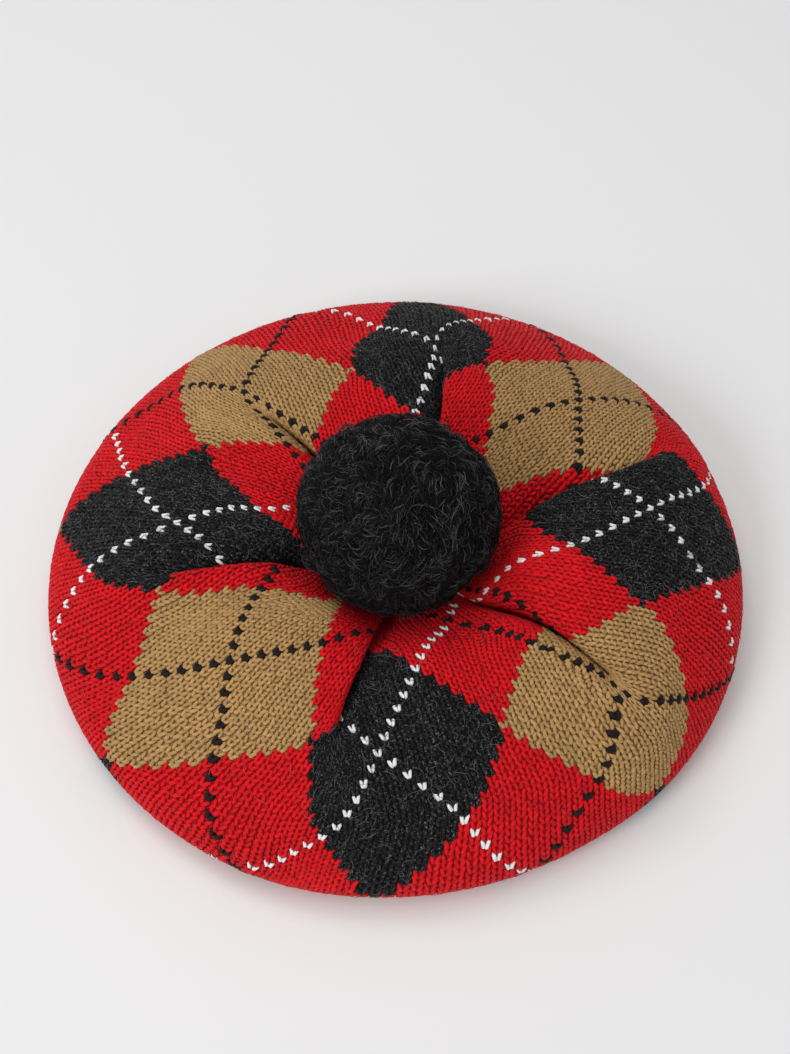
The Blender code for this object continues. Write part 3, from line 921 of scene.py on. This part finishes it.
class TamKnit(PropertyGroup):
    """Sizes of the stitches."""

    leg_half: length_setting("Leg half width", "Half width of a stitch's leg", 0.00093)
    white_half: length_setting("White half width", "The same on the white lines", 0.00082)
    dark_half: length_setting("Dark half width", "The same on the dark lines", 0.00112)
    loft: length_setting("Loft", "How far a leg stands out in its middle", 0.00100)
    sink: length_setting("Sink", "How far a leg's ends lie under the face", 0.00068)
    line_lift: length_setting("Line lift", "How far the thin lines stand out more", 0.00018)
    under: length_setting("Cloth under", "Depth of the cloth under the stitches", 0.00012)
    cloth: length_setting("Cloth", "Thickness of the cloth", 0.0025)
    seed: IntProperty(name="Seed", description="Seed of the small differences", default=7)


class TamPompom(PropertyGroup):
    """Sizes of the pompom."""

    strands: IntProperty(name="Strands", description="Strands on the ball", default=15000)
    strand_half: length_setting("Strand half width", "Half width of one strand", 0.000125)
    strand_length: length_setting("Strand length", "Length of one strand", 0.0070)
    crimp: length_setting("Crimp", "How far a strand waves to each side", 0.00030)


class TamStage(PropertyGroup):
    """Camera and light."""

    elevation: FloatProperty(
        name="Camera height", description="Angle of the camera above the floor",
        subtype="ANGLE", default=math.radians(56.4))
    distance: length_setting("Distance", "From the camera to what it looks at", 0.5644)
    key: FloatProperty(name="Key light", description="Power of the key light", default=16.3)
    top: FloatProperty(name="Top light", description="Power of the light overhead", default=12.0)
    world: FloatProperty(name="Surroundings", description="Strength of the sky", default=0.40)


def settings():
    """The scene's settings."""
    return bpy.context.scene.tam


class TamSettings(PropertyGroup):
    """All settings of the hat."""

    yarns: PointerProperty(type=TamYarns)
    knit: PointerProperty(type=TamKnit)
    pompom: PointerProperty(type=TamPompom)
    stage: PointerProperty(type=TamStage)


# ---- Pieces ----
TOP_FROM = -31              # first course with single stitches
RIM_COURSE = 29             # the underside's plainer stitches begin here
DEEP = 9.0 * MM             # deeper in a fold than this no stitch is laid
BAKE_SIDE = 0.48            # height of one side of the cloth on the bake map
BAKE_EDGE = 0.49            # where the edge at the head hole ends on it
BAKE_INNER = 0.50           # where the inner side begins on it


def cloth_faces(lines, columns):
    """The cloth's two sides, its edge at the head hole and the closed disc at the gather."""
    inner, edge = lines * columns, (lines - 1) * columns
    sides = np.concatenate((
        grid_faces(lines, columns), grid_faces(lines, columns, inner)[:, ::-1],
        ring_quads(edge, inner + edge, columns)))
    disc = np.concatenate((
        fan(2 * inner, 0, columns), fan(2 * inner + 1, inner, columns)[:, (0, 2, 1)]))
    return joined(sides, disc)


def cloth_maps(sizes, corners, lines, columns):
    """The place of each corner of the cloth on the chart, and its place on the bake map."""
    inner = lines * columns
    column, line = corners % columns, (corners % inner) // columns
    poles = corners >= 2 * inner
    starts = np.concatenate(([0], np.cumsum(sizes)[:-1]))
    closing = np.maximum.reduceat(np.where(poles, 0, column), starts) == columns - 1
    inside = np.repeat(np.minimum.reduceat(corners, starts) >= inner, sizes)
    chart_map = np.stack((column.astype(float), line + FIRST_COURSE), axis=-1)
    chart_map[poles] = (0.0, FIRST_COURSE)
    chart_map[(column == 0) & np.repeat(closing, sizes), 0] = columns
    bake = chart_map.copy()
    bake[:, 0] = bake[:, 0] / (columns + 2.0) * 0.995
    bake[:, 1] = (bake[:, 1] - FIRST_COURSE) / (LAST_COURSE - FIRST_COURSE) * BAKE_SIDE
    bake[inside, 1] += BAKE_INNER
    bake[(corners >= inner) & ~inside & ~poles, 1] = BAKE_EDGE
    return (("Chart", chart_map), ("OFBake", bake))


class TAM_OT_cloth(Operator):
    """Lay the crown's cloth, which the single stitches stand on"""

    bl_idname = "tam.cloth"
    bl_label = "Crown cloth"

    def execute(self, context):
        s = settings()
        lines = int(LAST_COURSE - FIRST_COURSE) + 1
        wale, course = np.meshgrid(
            np.arange(float(WALES)), FIRST_COURSE + np.arange(float(lines)))
        points, normals = FORM.place(wale, course, np.zeros(wale.shape))
        top = points - normals * s.knit.under
        inner = points - normals * s.knit.cloth
        middle = top[0].mean(axis=0)
        depth = np.array((0.0, 0.0, s.knit.cloth - s.knit.under))
        points = np.concatenate(
            (top.reshape(-1, 3), inner.reshape(-1, 3), [middle, middle - depth]))
        sizes, corners = cloth_faces(lines, WALES)
        piece = mesh_piece(
            "crown_cloth", points, sizes, corners,
            cloth_maps(sizes, corners, lines, WALES))
        colours = {"red": s.yarns.red, "charcoal": s.yarns.charcoal, "camel": s.yarns.camel}
        # the cloth is painted darker than its yarns: painted shade in the gaps between the
        # stitches
        piece.data.materials.append(chart_material("cloth_wool", colours, painted_gap_shade=0.85, rib=0.5))
        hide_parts("crown")
        knitted = [
            item for item in bpy.data.objects
            if item.name.endswith(("_stitches", "_underside", "_fibres"))]
        if not knitted:
            raise RuntimeError("the stitches and the loose fibres are made before the cloth")
        return {"FINISHED"}


# How far a leg bows towards its tip and how wide the two legs of a stitch spread
PLAIN_LOOK = {"bow": 1.1, "spread": 1.0}
LINE_LOOK = {"bow": 0.9, "spread": 0.9}
NUMBERS = {"red": GROUND, "charcoal": CHARCOAL, "camel": CAMEL, "white": WHITE, "dark": DARK}
UNDER_SEED = 20             # the underside's random draws start this far on


def lay_stitches(name, wanted, material, first, last, seed, half, line):
    """One piece of stitches: those that are wanted between two courses."""
    s = settings().knit
    wale, course = np.meshgrid(np.arange(WALES), np.arange(first, last + 1))
    wale, course = wale.ravel().astype(float), course.ravel().astype(float)
    keep = wanted(wale, course)
    keep &= FORM.look_up(FORM.depth, *eased(wale, course)) < DEEP
    wale, course = np.repeat(wale[keep], 2), np.repeat(course[keep], 2)
    hand = np.tile((-1.0, 1.0), len(wale) // 2)
    look = {"half": half, "loft": s.loft, "sink": s.sink, **(LINE_LOOK if line else PLAIN_LOOK)}
    if line:
        look["loft"] += s.line_lift
    section_points = PLAIN_SECTION if first >= RIM_COURSE else LEG_SECTION
    faces, each, uv = leg_template(len(section_points))
    points, tone = legs(
        wale, course, hand, look, np.random.default_rng(seed), section_points)
    sizes, corners = repeat(faces, each, len(wale))
    layers = leg_layers(uv, wale, course, hand, first, last, tone)
    piece = mesh_piece(
        name, points.reshape(-1, 3), sizes, corners, layers, np.repeat(tone, each))
    piece.data.materials.append(material)


def pick(number):
    """Choose the stitches of one yarn."""
    return lambda wale, course: chart(wale, course) == number


def near_front(wale, course):
    """Red stitches of the half round wale 0."""
    return (chart(wale, course) == GROUND) & (np.abs(turn_wales(wale)) < WALES / 4)


def near_back(wale, course):
    """Red stitches of the other half."""
    return (chart(wale, course) == GROUND) & (np.abs(turn_wales(wale)) >= WALES / 4)


class TAM_OT_stitches(Operator):
    """Knit the crown's stitches yarn by yarn, on top and underneath"""

    bl_idname = "tam.stitches"
    bl_label = "Stitches"

    def execute(self, context):
        yarns, knit = settings().yarns, settings().knit
        colours = {
            "red": (yarns.red, RED_FLECK), "charcoal": (yarns.charcoal, yarns.fleck),
            "camel": (yarns.camel, CAMEL_FLECK), "white": (yarns.white, WHITE_FLECK),
            "dark": (yarns.dark, DARK_FLECK)}
        wool = {
            look["name"]: yarn_material(look, *colours[look["name"]])
            for look in rows(YARN_COLUMNS, YARNS)}
        plan = (
            ("red_front_stitches", near_front, "red", knit.leg_half, False),
            ("red_back_stitches", near_back, "red", knit.leg_half, False),
            ("charcoal_stitches", pick(CHARCOAL), "charcoal", knit.leg_half, False),
            ("camel_stitches", pick(CAMEL), "camel", knit.leg_half, False),
            ("white_stitches", pick(WHITE), "white", knit.white_half, True),
            ("dark_stitches", pick(DARK), "dark", knit.dark_half, True),
        )
        for index, (name, wanted, key, half, line) in enumerate(plan):
            lay_stitches(
                name, wanted, wool[key], TOP_FROM, RIM_COURSE - 1, knit.seed + index, half, line)
            if index > 0:
                # the red underside is one piece, and comes after the second red one of the top
                lay_stitches(
                    key + "_underside", pick(NUMBERS[key]), wool[key], RIM_COURSE,
                    int(LAST_COURSE) - 1, knit.seed + UNDER_SEED + index, half, line)
        return {"FINISHED"}


BAND_COLUMNS = 432          # points round the band
BAND_RIBS = 72
RIB_HEIGHT = 0.55 * MM      # how far a rib stands out
END_RIB = 0.6               # share of that at the band's two edges
BAND_FLECK = (0.9, 0.2, 0.2)
# The band cut through: side from -1 inside to 1 outside, and up as a share of its height.
BAND_SECTION = (
    (-1.0, 0.06), (-1.0, 0.25), (-1.0, 0.5), (-1.0, 0.75), (-1.0, 0.95), (-0.5, 1.0),
    (0.5, 1.0), (1.0, 0.95), (1.0, 0.75), (1.0, 0.5), (1.0, 0.25), (1.0, 0.06),
    (0.5, 0.0), (-0.5, 0.0))


class TAM_OT_headband(Operator):
    """Knit the ribbed headband"""

    bl_idname = "tam.headband"
    bl_label = "Headband"

    def execute(self, context):
        s = settings()
        angle = 2.0 * math.pi * np.arange(BAND_COLUMNS) / BAND_COLUMNS
        wave = np.cos(BAND_RIBS * angle)
        relief = RIB_HEIGHT * np.sign(wave) * np.abs(wave) ** 0.6
        middle = BAND_OUTER - BAND_THICK / 2.0
        half = BAND_THICK / 2.0 - RIB_HEIGHT
        points = []
        for side, up in BAND_SECTION:
            radius = middle + side * half + relief * (1.0 if 0.0 < up < 1.0 else END_RIB)
            points.append(np.stack((
                radius * np.cos(angle), radius * np.sin(angle),
                np.full(BAND_COLUMNS, up * BAND_HEIGHT)), axis=-1))
        lines = len(BAND_SECTION)
        sizes, corners = joined(
            grid_faces(lines, BAND_COLUMNS),
            ring_quads((lines - 1) * BAND_COLUMNS, 0, BAND_COLUMNS))
        piece = mesh_piece("headband_rib", np.concatenate(points), sizes, corners)
        piece.data.materials.append(plain_wool(
            "band_wool", s.yarns.red, fleck=BAND_FLECK, share=0.25, scale=900.0, sheen=0.3))
        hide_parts("headband")
        return {"FINISHED"}


WHORL_COLUMNS = ("name", "azimuth", "height", "half_angle", "away", "spin")
WHORLS = (
    ("middle", 266.0, 52.0, 34.0, 1.3, -0.35),
    ("top_left", 215.0, 62.0, 26.0, 0.2, 1.0),
    ("left", 205.0, 28.0, 24.0, 0.6, 0.7),
    ("top_right", 330.0, 66.0, 24.0, 0.6, -0.8),
    ("right", 335.0, 30.0, 26.0, 0.8, 0.5),
    ("low_left", 235.0, 10.0, 22.0, 0.5, -0.8),
    ("low_right", 290.0, 8.0, 22.0, 0.7, 0.9),
    ("back", 90.0, 35.0, 60.0, 0.9, 0.6),
    ("under", 40.0, -40.0, 80.0, 0.6, 0.8),
)
LOCKS = 900                 # locks of strands that lie together
LOCK_PULL = 0.42            # how far the strands of a lock draw together
CORE_COLUMNS = 96           # points of the core round its middle
CORE_BANDS = 48             # and from its top to its bottom
CORE_DEPTH = 3.3 * MM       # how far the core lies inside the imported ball
CLUMP = 1.0 * MM            # how far the wool's clumps stand out
CLUMP_SEED = 41
CLUMP_WAVES = ((3.0, 0.35), (6.0, 0.35), (11.0, 0.30))      # frequency, strength
STRAND_POINTS = 5
STRAND_DEPTH = 2.7 * MM     # how far a strand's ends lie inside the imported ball
STRAND_ARCH = 1.9 * MM      # how far its middle stands out from its ends
STRAND_BACK = 0.45          # share of its length that lies behind its root
TUBE_SIDES = 3              # strands and fibres are three sided
TUBE_ASIDE = (0.31, 0.17, 0.93)     # the way that a tube's sides are turned from
TUBE_TAPER = (0.12, 0.76)   # where on a half wave a tube's width starts, and its share of it
FULL_TURN = 6.28            # radians, near enough for a random direction
# Spreads of the random draws for locks and strands: places on a ball of radius one, angles in
# radians, heights in millimetres.
LOCK_SCATTER, LOCK_TURN, LOCK_HEIGHT = 0.035, 0.42, 0.75
STRAND_SCATTER, STRAND_TURN, STRAND_HEIGHT = 0.012, 0.20, 0.32
STRAND_CHOICE = 0.0012      # lets a strand join the lock beside its own
STRAND_CURL, WILD_CURL = 0.75, 2.0
STRAND_PHASE = 0.5
STRAND_WAVE = 8.0           # how far a strand runs through its wave from end to end
STRAND_LENGTHS = (0.6, 1.2)         # share of the set length
STRAND_HALVES = (0.7, 1.25)         # share of the set half width
WILD_SHARE, WILD_MORE = 0.05, 0.16  # share of strands that lie astray on top, and more below


def facing(azimuth, height):
    """Direction at an azimuth and a height angle, in degrees."""
    a, h = math.radians(azimuth), math.radians(height)
    return np.array((math.cos(h) * math.cos(a), math.cos(h) * math.sin(a), math.sin(h)))


def spread_out(n, rng, scatter):
    """Directions spread evenly over the ball, with a little scatter."""
    index = np.arange(n) + 0.5
    z = 1.0 - 2.0 * index / n
    around = index * math.pi * (3.0 - math.sqrt(5.0))
    flat = np.sqrt(1.0 - z * z)
    direction = np.stack((flat * np.cos(around), flat * np.sin(around), z), axis=-1)
    return unit(direction + rng.normal(0.0, scatter, direction.shape))


def combed(direction):
    """The directions in which the pompom's locks lie."""
    field = np.zeros_like(direction)
    for row in rows(WHORL_COLUMNS, WHORLS):
        pole = facing(row["azimuth"], row["height"])
        along = (direction @ pole)[:, None]
        away = unit(direction - pole * along)
        near = np.exp(-(np.degrees(np.arccos(np.clip(along, -1.0, 1.0))) / row["half_angle"]) ** 2)
        field += near * (row["away"] * away + row["spin"] * np.cross(pole, away))
    return level(direction, field)


def level(direction, heading):
    """Headings laid flat on the ball."""
    return unit(heading - direction * (heading * direction).sum(axis=1, keepdims=True))


def turned(direction, heading, angle):
    """Headings turned on the ball by an angle."""
    return heading * np.cos(angle)[:, None] + np.cross(direction, heading) * np.sin(angle)[:, None]


def tubes(paths, halves, sides=TUBE_SIDES):
    """Thin closed tubes along many paths of the same number of points."""
    n, count = paths.shape[:2]
    run = unit(np.gradient(paths, axis=1))
    reference = unit(paths.mean(axis=1) * 0.37 + np.array(TUBE_ASIDE))
    side = unit(np.cross(run, reference[:, None, :]))
    up = np.cross(side, run)
    start, share = TUBE_TAPER
    taper = np.sin(np.pi * (start + share * np.linspace(0.0, 1.0, count))) ** 0.5
    points = np.empty((n, count * sides, 3))
    for k in range(sides):
        a = 2.0 * math.pi * k / sides
        shift = side * math.cos(a) + up * math.sin(a)
        points[:, k::sides] = paths + shift * (halves[:, None] * taper[None, :])[..., None]
    faces = [tuple(range(sides))]
    for i in range(count - 1):
        for k in range(sides):
            a, b = i * sides + k, i * sides + (k + 1) % sides
            faces.append((a, a + sides, b + sides, b))
    faces.append(tuple(reversed(range((count - 1) * sides, count * sides))))
    sizes, corners = repeat(faces, count * sides, n)
    return points.reshape(-1, 3), sizes, corners


def lumps(direction):
    """Height of the pompom's clumps over its mean surface, from -1 to 1."""
    wave = np.zeros(len(direction))
    rng = np.random.default_rng(CLUMP_SEED)
    for frequency, strength in CLUMP_WAVES:
        for _ in range(4):
            axis = unit(rng.normal(size=3))
            phase = rng.uniform(0.0, FULL_TURN)
            wave += strength / 2 * np.sin(frequency * direction @ axis + phase)
    return np.clip(wave, -1.0, 1.0)


def core_mesh():
    """Points and faces of the pompom's core, a lumpy ball."""
    polar = math.pi * (np.arange(CORE_BANDS) + 0.5) / CORE_BANDS
    angle = 2.0 * math.pi * np.arange(CORE_COLUMNS) / CORE_COLUMNS
    p, a = np.meshgrid(polar, angle, indexing="ij")
    direction = np.stack(
        (np.sin(p) * np.cos(a), np.sin(p) * np.sin(a), np.cos(p)), axis=-1).reshape(-1, 3)
    radius = POMPOM_RADIUS - CORE_DEPTH + CLUMP * lumps(direction)
    pole = np.array((0.0, 0.0, POMPOM_RADIUS - CORE_DEPTH))
    points = np.concatenate((direction * radius[:, None], [pole, -pole]))
    count, last = len(direction), (CORE_BANDS - 1) * CORE_COLUMNS
    ends = np.concatenate((
        fan(count, 0, CORE_COLUMNS), fan(count + 1, last, CORE_COLUMNS)[:, (0, 2, 1)]))
    return (points, *joined(grid_faces(CORE_BANDS, CORE_COLUMNS), ends))


def strand_paths(knobs, rng):
    """Points of the pompom's strands, and how high the lock of each one stands."""
    n = knobs.strands
    lock = spread_out(LOCKS, rng, LOCK_SCATTER)
    lock_heading = turned(lock, combed(lock), rng.normal(0.0, LOCK_TURN, LOCKS))
    lock_phase = rng.uniform(0.0, FULL_TURN, LOCKS)
    lock_height = rng.normal(0.0, LOCK_HEIGHT, LOCKS) * MM
    root = spread_out(n, rng, STRAND_SCATTER)
    own = (root @ lock.T + rng.normal(0.0, STRAND_CHOICE, (n, LOCKS))).argmax(axis=1)
    heading = turned(root, lock_heading[own], rng.normal(0.0, STRAND_TURN, n))
    wild = rng.random(n) < WILD_SHARE + WILD_MORE * (1.0 - root[:, 2]) / 2.0
    heading[wild] = unit(rng.normal(size=(int(wild.sum()), 3)))
    heading = level(root, heading)
    length = knobs.strand_length * rng.uniform(*STRAND_LENGTHS, n)
    curl = rng.normal(0.0, STRAND_CURL, n) + np.where(wild, rng.normal(0.0, WILD_CURL, n), 0.0)
    phase = lock_phase[own] + rng.normal(0.0, STRAND_PHASE, n)
    stand = rng.normal(0.0, STRAND_HEIGHT, n) * MM + lock_height[own] - STRAND_DEPTH
    here = unit(root - heading * (length * STRAND_BACK / POMPOM_RADIUS)[:, None])
    steps = STRAND_POINTS - 1
    step = (length / steps / POMPOM_RADIUS)[:, None]
    path = np.empty((n, STRAND_POINTS, 3))
    for i in range(STRAND_POINTS):
        t = i / steps
        arch = STRAND_ARCH * math.sin(math.pi * (0.08 + 0.84 * t))
        height = lumps(here) * CLUMP + stand + arch
        crimp = knobs.crimp * np.sin(phase + t * STRAND_WAVE)
        drawn = unit(here + (lock[own] - here) * LOCK_PULL * t * 0.5)
        path[:, i] = drawn * (POMPOM_RADIUS + height)[:, None]
        path[:, i] += np.cross(drawn, heading) * crimp[:, None]
        heading = turned(here, heading, curl / steps)
        here = unit(here + heading * step)
        heading = level(here, heading)
    return path, lock_height[own]


class TAM_OT_pompom(Operator):
    """Make the pompom: a woolly core and thousands of curly strands"""

    bl_idname = "tam.pompom"
    bl_label = "Pompom"

    def execute(self, context):
        s = settings()
        middle = POMPOM_CENTRE + POMPOM_SAG
        points, sizes, corners = core_mesh()
        core = mesh_piece("pompom_core", middle + points, sizes, corners)
        core.data.materials.append(plain_wool(
            "pompom_core_wool", s.yarns.pompom, s.yarns.pompom_light, share=0.42, scale=1300.0,
            sheen=0.05))
        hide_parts("pompom")

        n = s.pompom.strands
        rng = np.random.default_rng(s.knit.seed + 30)
        paths, lift = strand_paths(s.pompom, rng)
        paths += middle
        halves = s.pompom.strand_half * rng.uniform(*STRAND_HALVES, n)
        # painted light and shade: strands of locks that stand higher are lighter, those that lie
        # lower are darker
        tone = np.clip(rng.uniform(0.0, 1.0, n) ** 2.2 + lift / MM * 0.14, 0.0, 1.0)
        wool = strand_material("pompom_wool", s.yarns.pompom, s.yarns.pompom_light, POMPOM_PAINTED_SHADE)
        for first, name in enumerate(("pompom_strands", "pompom_locks")):
            part = slice(first, None, 2)
            points, sizes, corners = tubes(paths[part], halves[part])
            tones = np.repeat(tone[part], STRAND_POINTS * TUBE_SIDES)
            strands = mesh_piece(name, points, sizes, corners, (), tones)
            strands.data.materials.append(wool)
        return {"FINISHED"}


FIBRE_COLUMNS = ("name", "yarn", "count", "light")
FIBRES = (
    ("charcoal_fibres", CHARCOAL, 2200, (0.22, 0.22, 0.23)),
    ("red_fibres", GROUND, 700, (0.75, 0.12, 0.12)),
)
FIBRE_POINTS = 5
FIBRE_HALF = 0.075 * MM
FIBRE_DEEP = 4.0 * MM       # deeper in a fold than this no fibre lies
FIBRE_UNTIL = 25.0          # the course where the fibres end
FIBRE_BEND = 2.2            # spread of a fibre's turn from end to end, in radians
FIBRE_REACH = (1.2, 3.0)    # its length, in courses
COURSE_IN_WALES = 0.62


def fibre_paths(yarn, wanted, rng):
    """Points of loose fibres on the stitches of one yarn."""
    wale = rng.uniform(0.0, WALES, wanted * 8)
    course = rng.uniform(TOP_FROM + 3, FIBRE_UNTIL, wanted * 8)
    ok = chart(np.round(wale), np.round(course)) == yarn
    ok &= FORM.look_up(FORM.depth, *eased(wale, course)) < FIBRE_DEEP
    wale, course = wale[ok][:wanted], course[ok][:wanted]
    n = len(wale)
    heading = rng.uniform(0.0, FULL_TURN, n)
    bend = rng.normal(0.0, FIBRE_BEND, n)
    reach = rng.uniform(*FIBRE_REACH, n)
    steps = FIBRE_POINTS - 1
    path = np.empty((n, FIBRE_POINTS, 3))
    for i in range(FIBRE_POINTS):
        lift = (0.35 + 0.75 * math.sin(math.pi * (0.1 + 0.8 * i / steps))) * MM
        path[:, i] = FORM.place(wale, course, np.full(n, lift))[0]
        wale = wale + np.cos(heading) * reach / steps * COURSE_IN_WALES
        course = course + np.sin(heading) * reach / steps
        heading = heading + bend / steps
    return path


class TAM_OT_fibres(Operator):
    """Scatter the loose fibres that stand off the knitting"""

    bl_idname = "tam.fibres"
    bl_label = "Loose fibres"

    def execute(self, context):
        s = settings()
        rng = np.random.default_rng(s.knit.seed + 50)
        colours = {CHARCOAL: s.yarns.charcoal, GROUND: s.yarns.red}
        for row in rows(FIBRE_COLUMNS, FIBRES):
            paths = fibre_paths(row["yarn"], row["count"], rng)
            n = len(paths)
            points, sizes, corners = tubes(paths, np.full(n, FIBRE_HALF))
            tone = np.repeat(rng.uniform(0.0, 1.0, n), FIBRE_POINTS * TUBE_SIDES)
            piece = mesh_piece(row["name"], points, sizes, corners, (), tone)
            piece.data.materials.append(
                strand_material(row["name"] + "_wool", colours[row["yarn"]], row["light"]))
        return {"FINISHED"}


PHOTO_FOCAL = 1418.5        # the photo's focal length and height, in pixels
PHOTO_HEIGHT = 1054.0
SENSOR = 36.0               # height of the camera's sensor, in its own millimetres
LOOKS_AT = (0.0, 0.0121, 0.020)
FLOOR_COLOUR = (0.86, 0.86, 0.86)
FLOOR_HALF = 6.0            # half the floor's side
FLOOR_DROP = 0.0004         # the floor lies this far under the hat
LAMP_COLUMNS = ("name", "place", "width", "setting", "share")
LAMPS = (
    ("key", (-1.20, -1.20, 1.19), 0.8, "key", 1.0),
    ("top", (0.0, 0.01, 2.07), 1.8, "top", 1.0),
    ("back", (-0.73, 0.73, 1.79), 0.8, "key", 0.31),
)


def lay_floor():
    """The pale floor that the hat lies on."""
    mesh = bpy.data.meshes.new("floor")
    corners = ((-1.0, -1.0), (1.0, -1.0), (1.0, 1.0), (-1.0, 1.0))
    mesh.from_pydata(
        [(x * FLOOR_HALF, y * FLOOR_HALF, 0.0) for x, y in corners], [], [(0, 1, 2, 3)])
    mesh.materials.append(Shader("pale_floor").finish(
        rgb(FLOOR_COLOUR), roughness=0.9, sheen=0.0, sheen_roughness=0.5))
    floor = linked("floor", mesh)
    floor.location.z = -FLOOR_DROP


def set_camera(elevation, distance):
    """A camera that sees the hat as the photo does."""
    forward = np.array((0.0, math.cos(elevation), -math.sin(elevation)))
    data = bpy.data.cameras.new("camera")
    data.sensor_fit = "VERTICAL"
    data.sensor_height = SENSOR
    data.lens = SENSOR * PHOTO_FOCAL / PHOTO_HEIGHT
    camera = linked("camera", data)
    camera.location = np.array(LOOKS_AT) - forward * distance
    camera.rotation_euler = (math.pi / 2.0 - elevation, 0.0, 0.0)
    bpy.context.scene.camera = camera


def hang_lamp(name, place, width, power):
    """A round lamp that points at the middle of the floor."""
    data = bpy.data.lights.new(name, "AREA")
    data.shape = "DISK"
    data.size = width
    data.energy = power
    lamp = linked(name, data)
    lamp.location = place
    x, y, z = place
    lamp.rotation_euler = (
        math.atan2(math.hypot(x, y), z), 0.0, math.atan2(y, x) + math.pi / 2.0)


class TAM_OT_stage(Operator):
    """Set the floor, the lights and the camera"""

    bl_idname = "tam.stage"
    bl_label = "Stage"

    def execute(self, context):
        s = settings().stage
        lay_floor()
        set_camera(s.elevation, s.distance)
        for row in rows(LAMP_COLUMNS, LAMPS):
            power = getattr(s, row["setting"]) * row["share"]
            hang_lamp(row["name"], row["place"], row["width"], power)
        world = bpy.data.worlds.new("studio")
        world.use_nodes = True
        sky = world.node_tree.nodes["Background"]
        sky.inputs["Color"].default_value = (1.0, 1.0, 1.0, 1.0)
        sky.inputs["Strength"].default_value = s.world
        scene = bpy.context.scene
        scene.world = world
        scene.view_settings.view_transform = "Standard"
        return {"FINISHED"}


class TAM_PT_panel(Panel):
    """Lists the steps that build the hat"""

    bl_idname = "TAM_PT_panel"
    bl_label = "Tam o' shanter"
    bl_space_type = "VIEW_3D"
    bl_region_type = "UI"
    bl_category = "Tam"

    def draw(self, context):
        for step in STEPS:
            self.layout.operator(step.bl_idname)
        for group in (settings().yarns, settings().knit, settings().pompom, settings().stage):
            for name in group.__annotations__:
                self.layout.prop(group, name)


STEPS = (
    TAM_OT_stage, TAM_OT_stitches, TAM_OT_fibres, TAM_OT_headband, TAM_OT_cloth, TAM_OT_pompom)
CLASSES = (TamYarns, TamKnit, TamPompom, TamStage, TamSettings) + STEPS + (TAM_PT_panel,)


def register():
    """Register every class and the settings."""
    for item in CLASSES:
        bpy.utils.register_class(item)
    bpy.types.Scene.tam = PointerProperty(type=TamSettings)


def unregister():
    """Take them away again."""
    del bpy.types.Scene.tam
    for item in reversed(CLASSES):
        bpy.utils.unregister_class(item)


def main():
    """Build everything in order."""
    register()
    bpy.ops.tam.stage()
    bpy.ops.tam.stitches()
    bpy.ops.tam.fibres()
    bpy.ops.tam.headband()
    bpy.ops.tam.cloth()
    bpy.ops.tam.pompom()


if __name__ == "__main__":
    main()
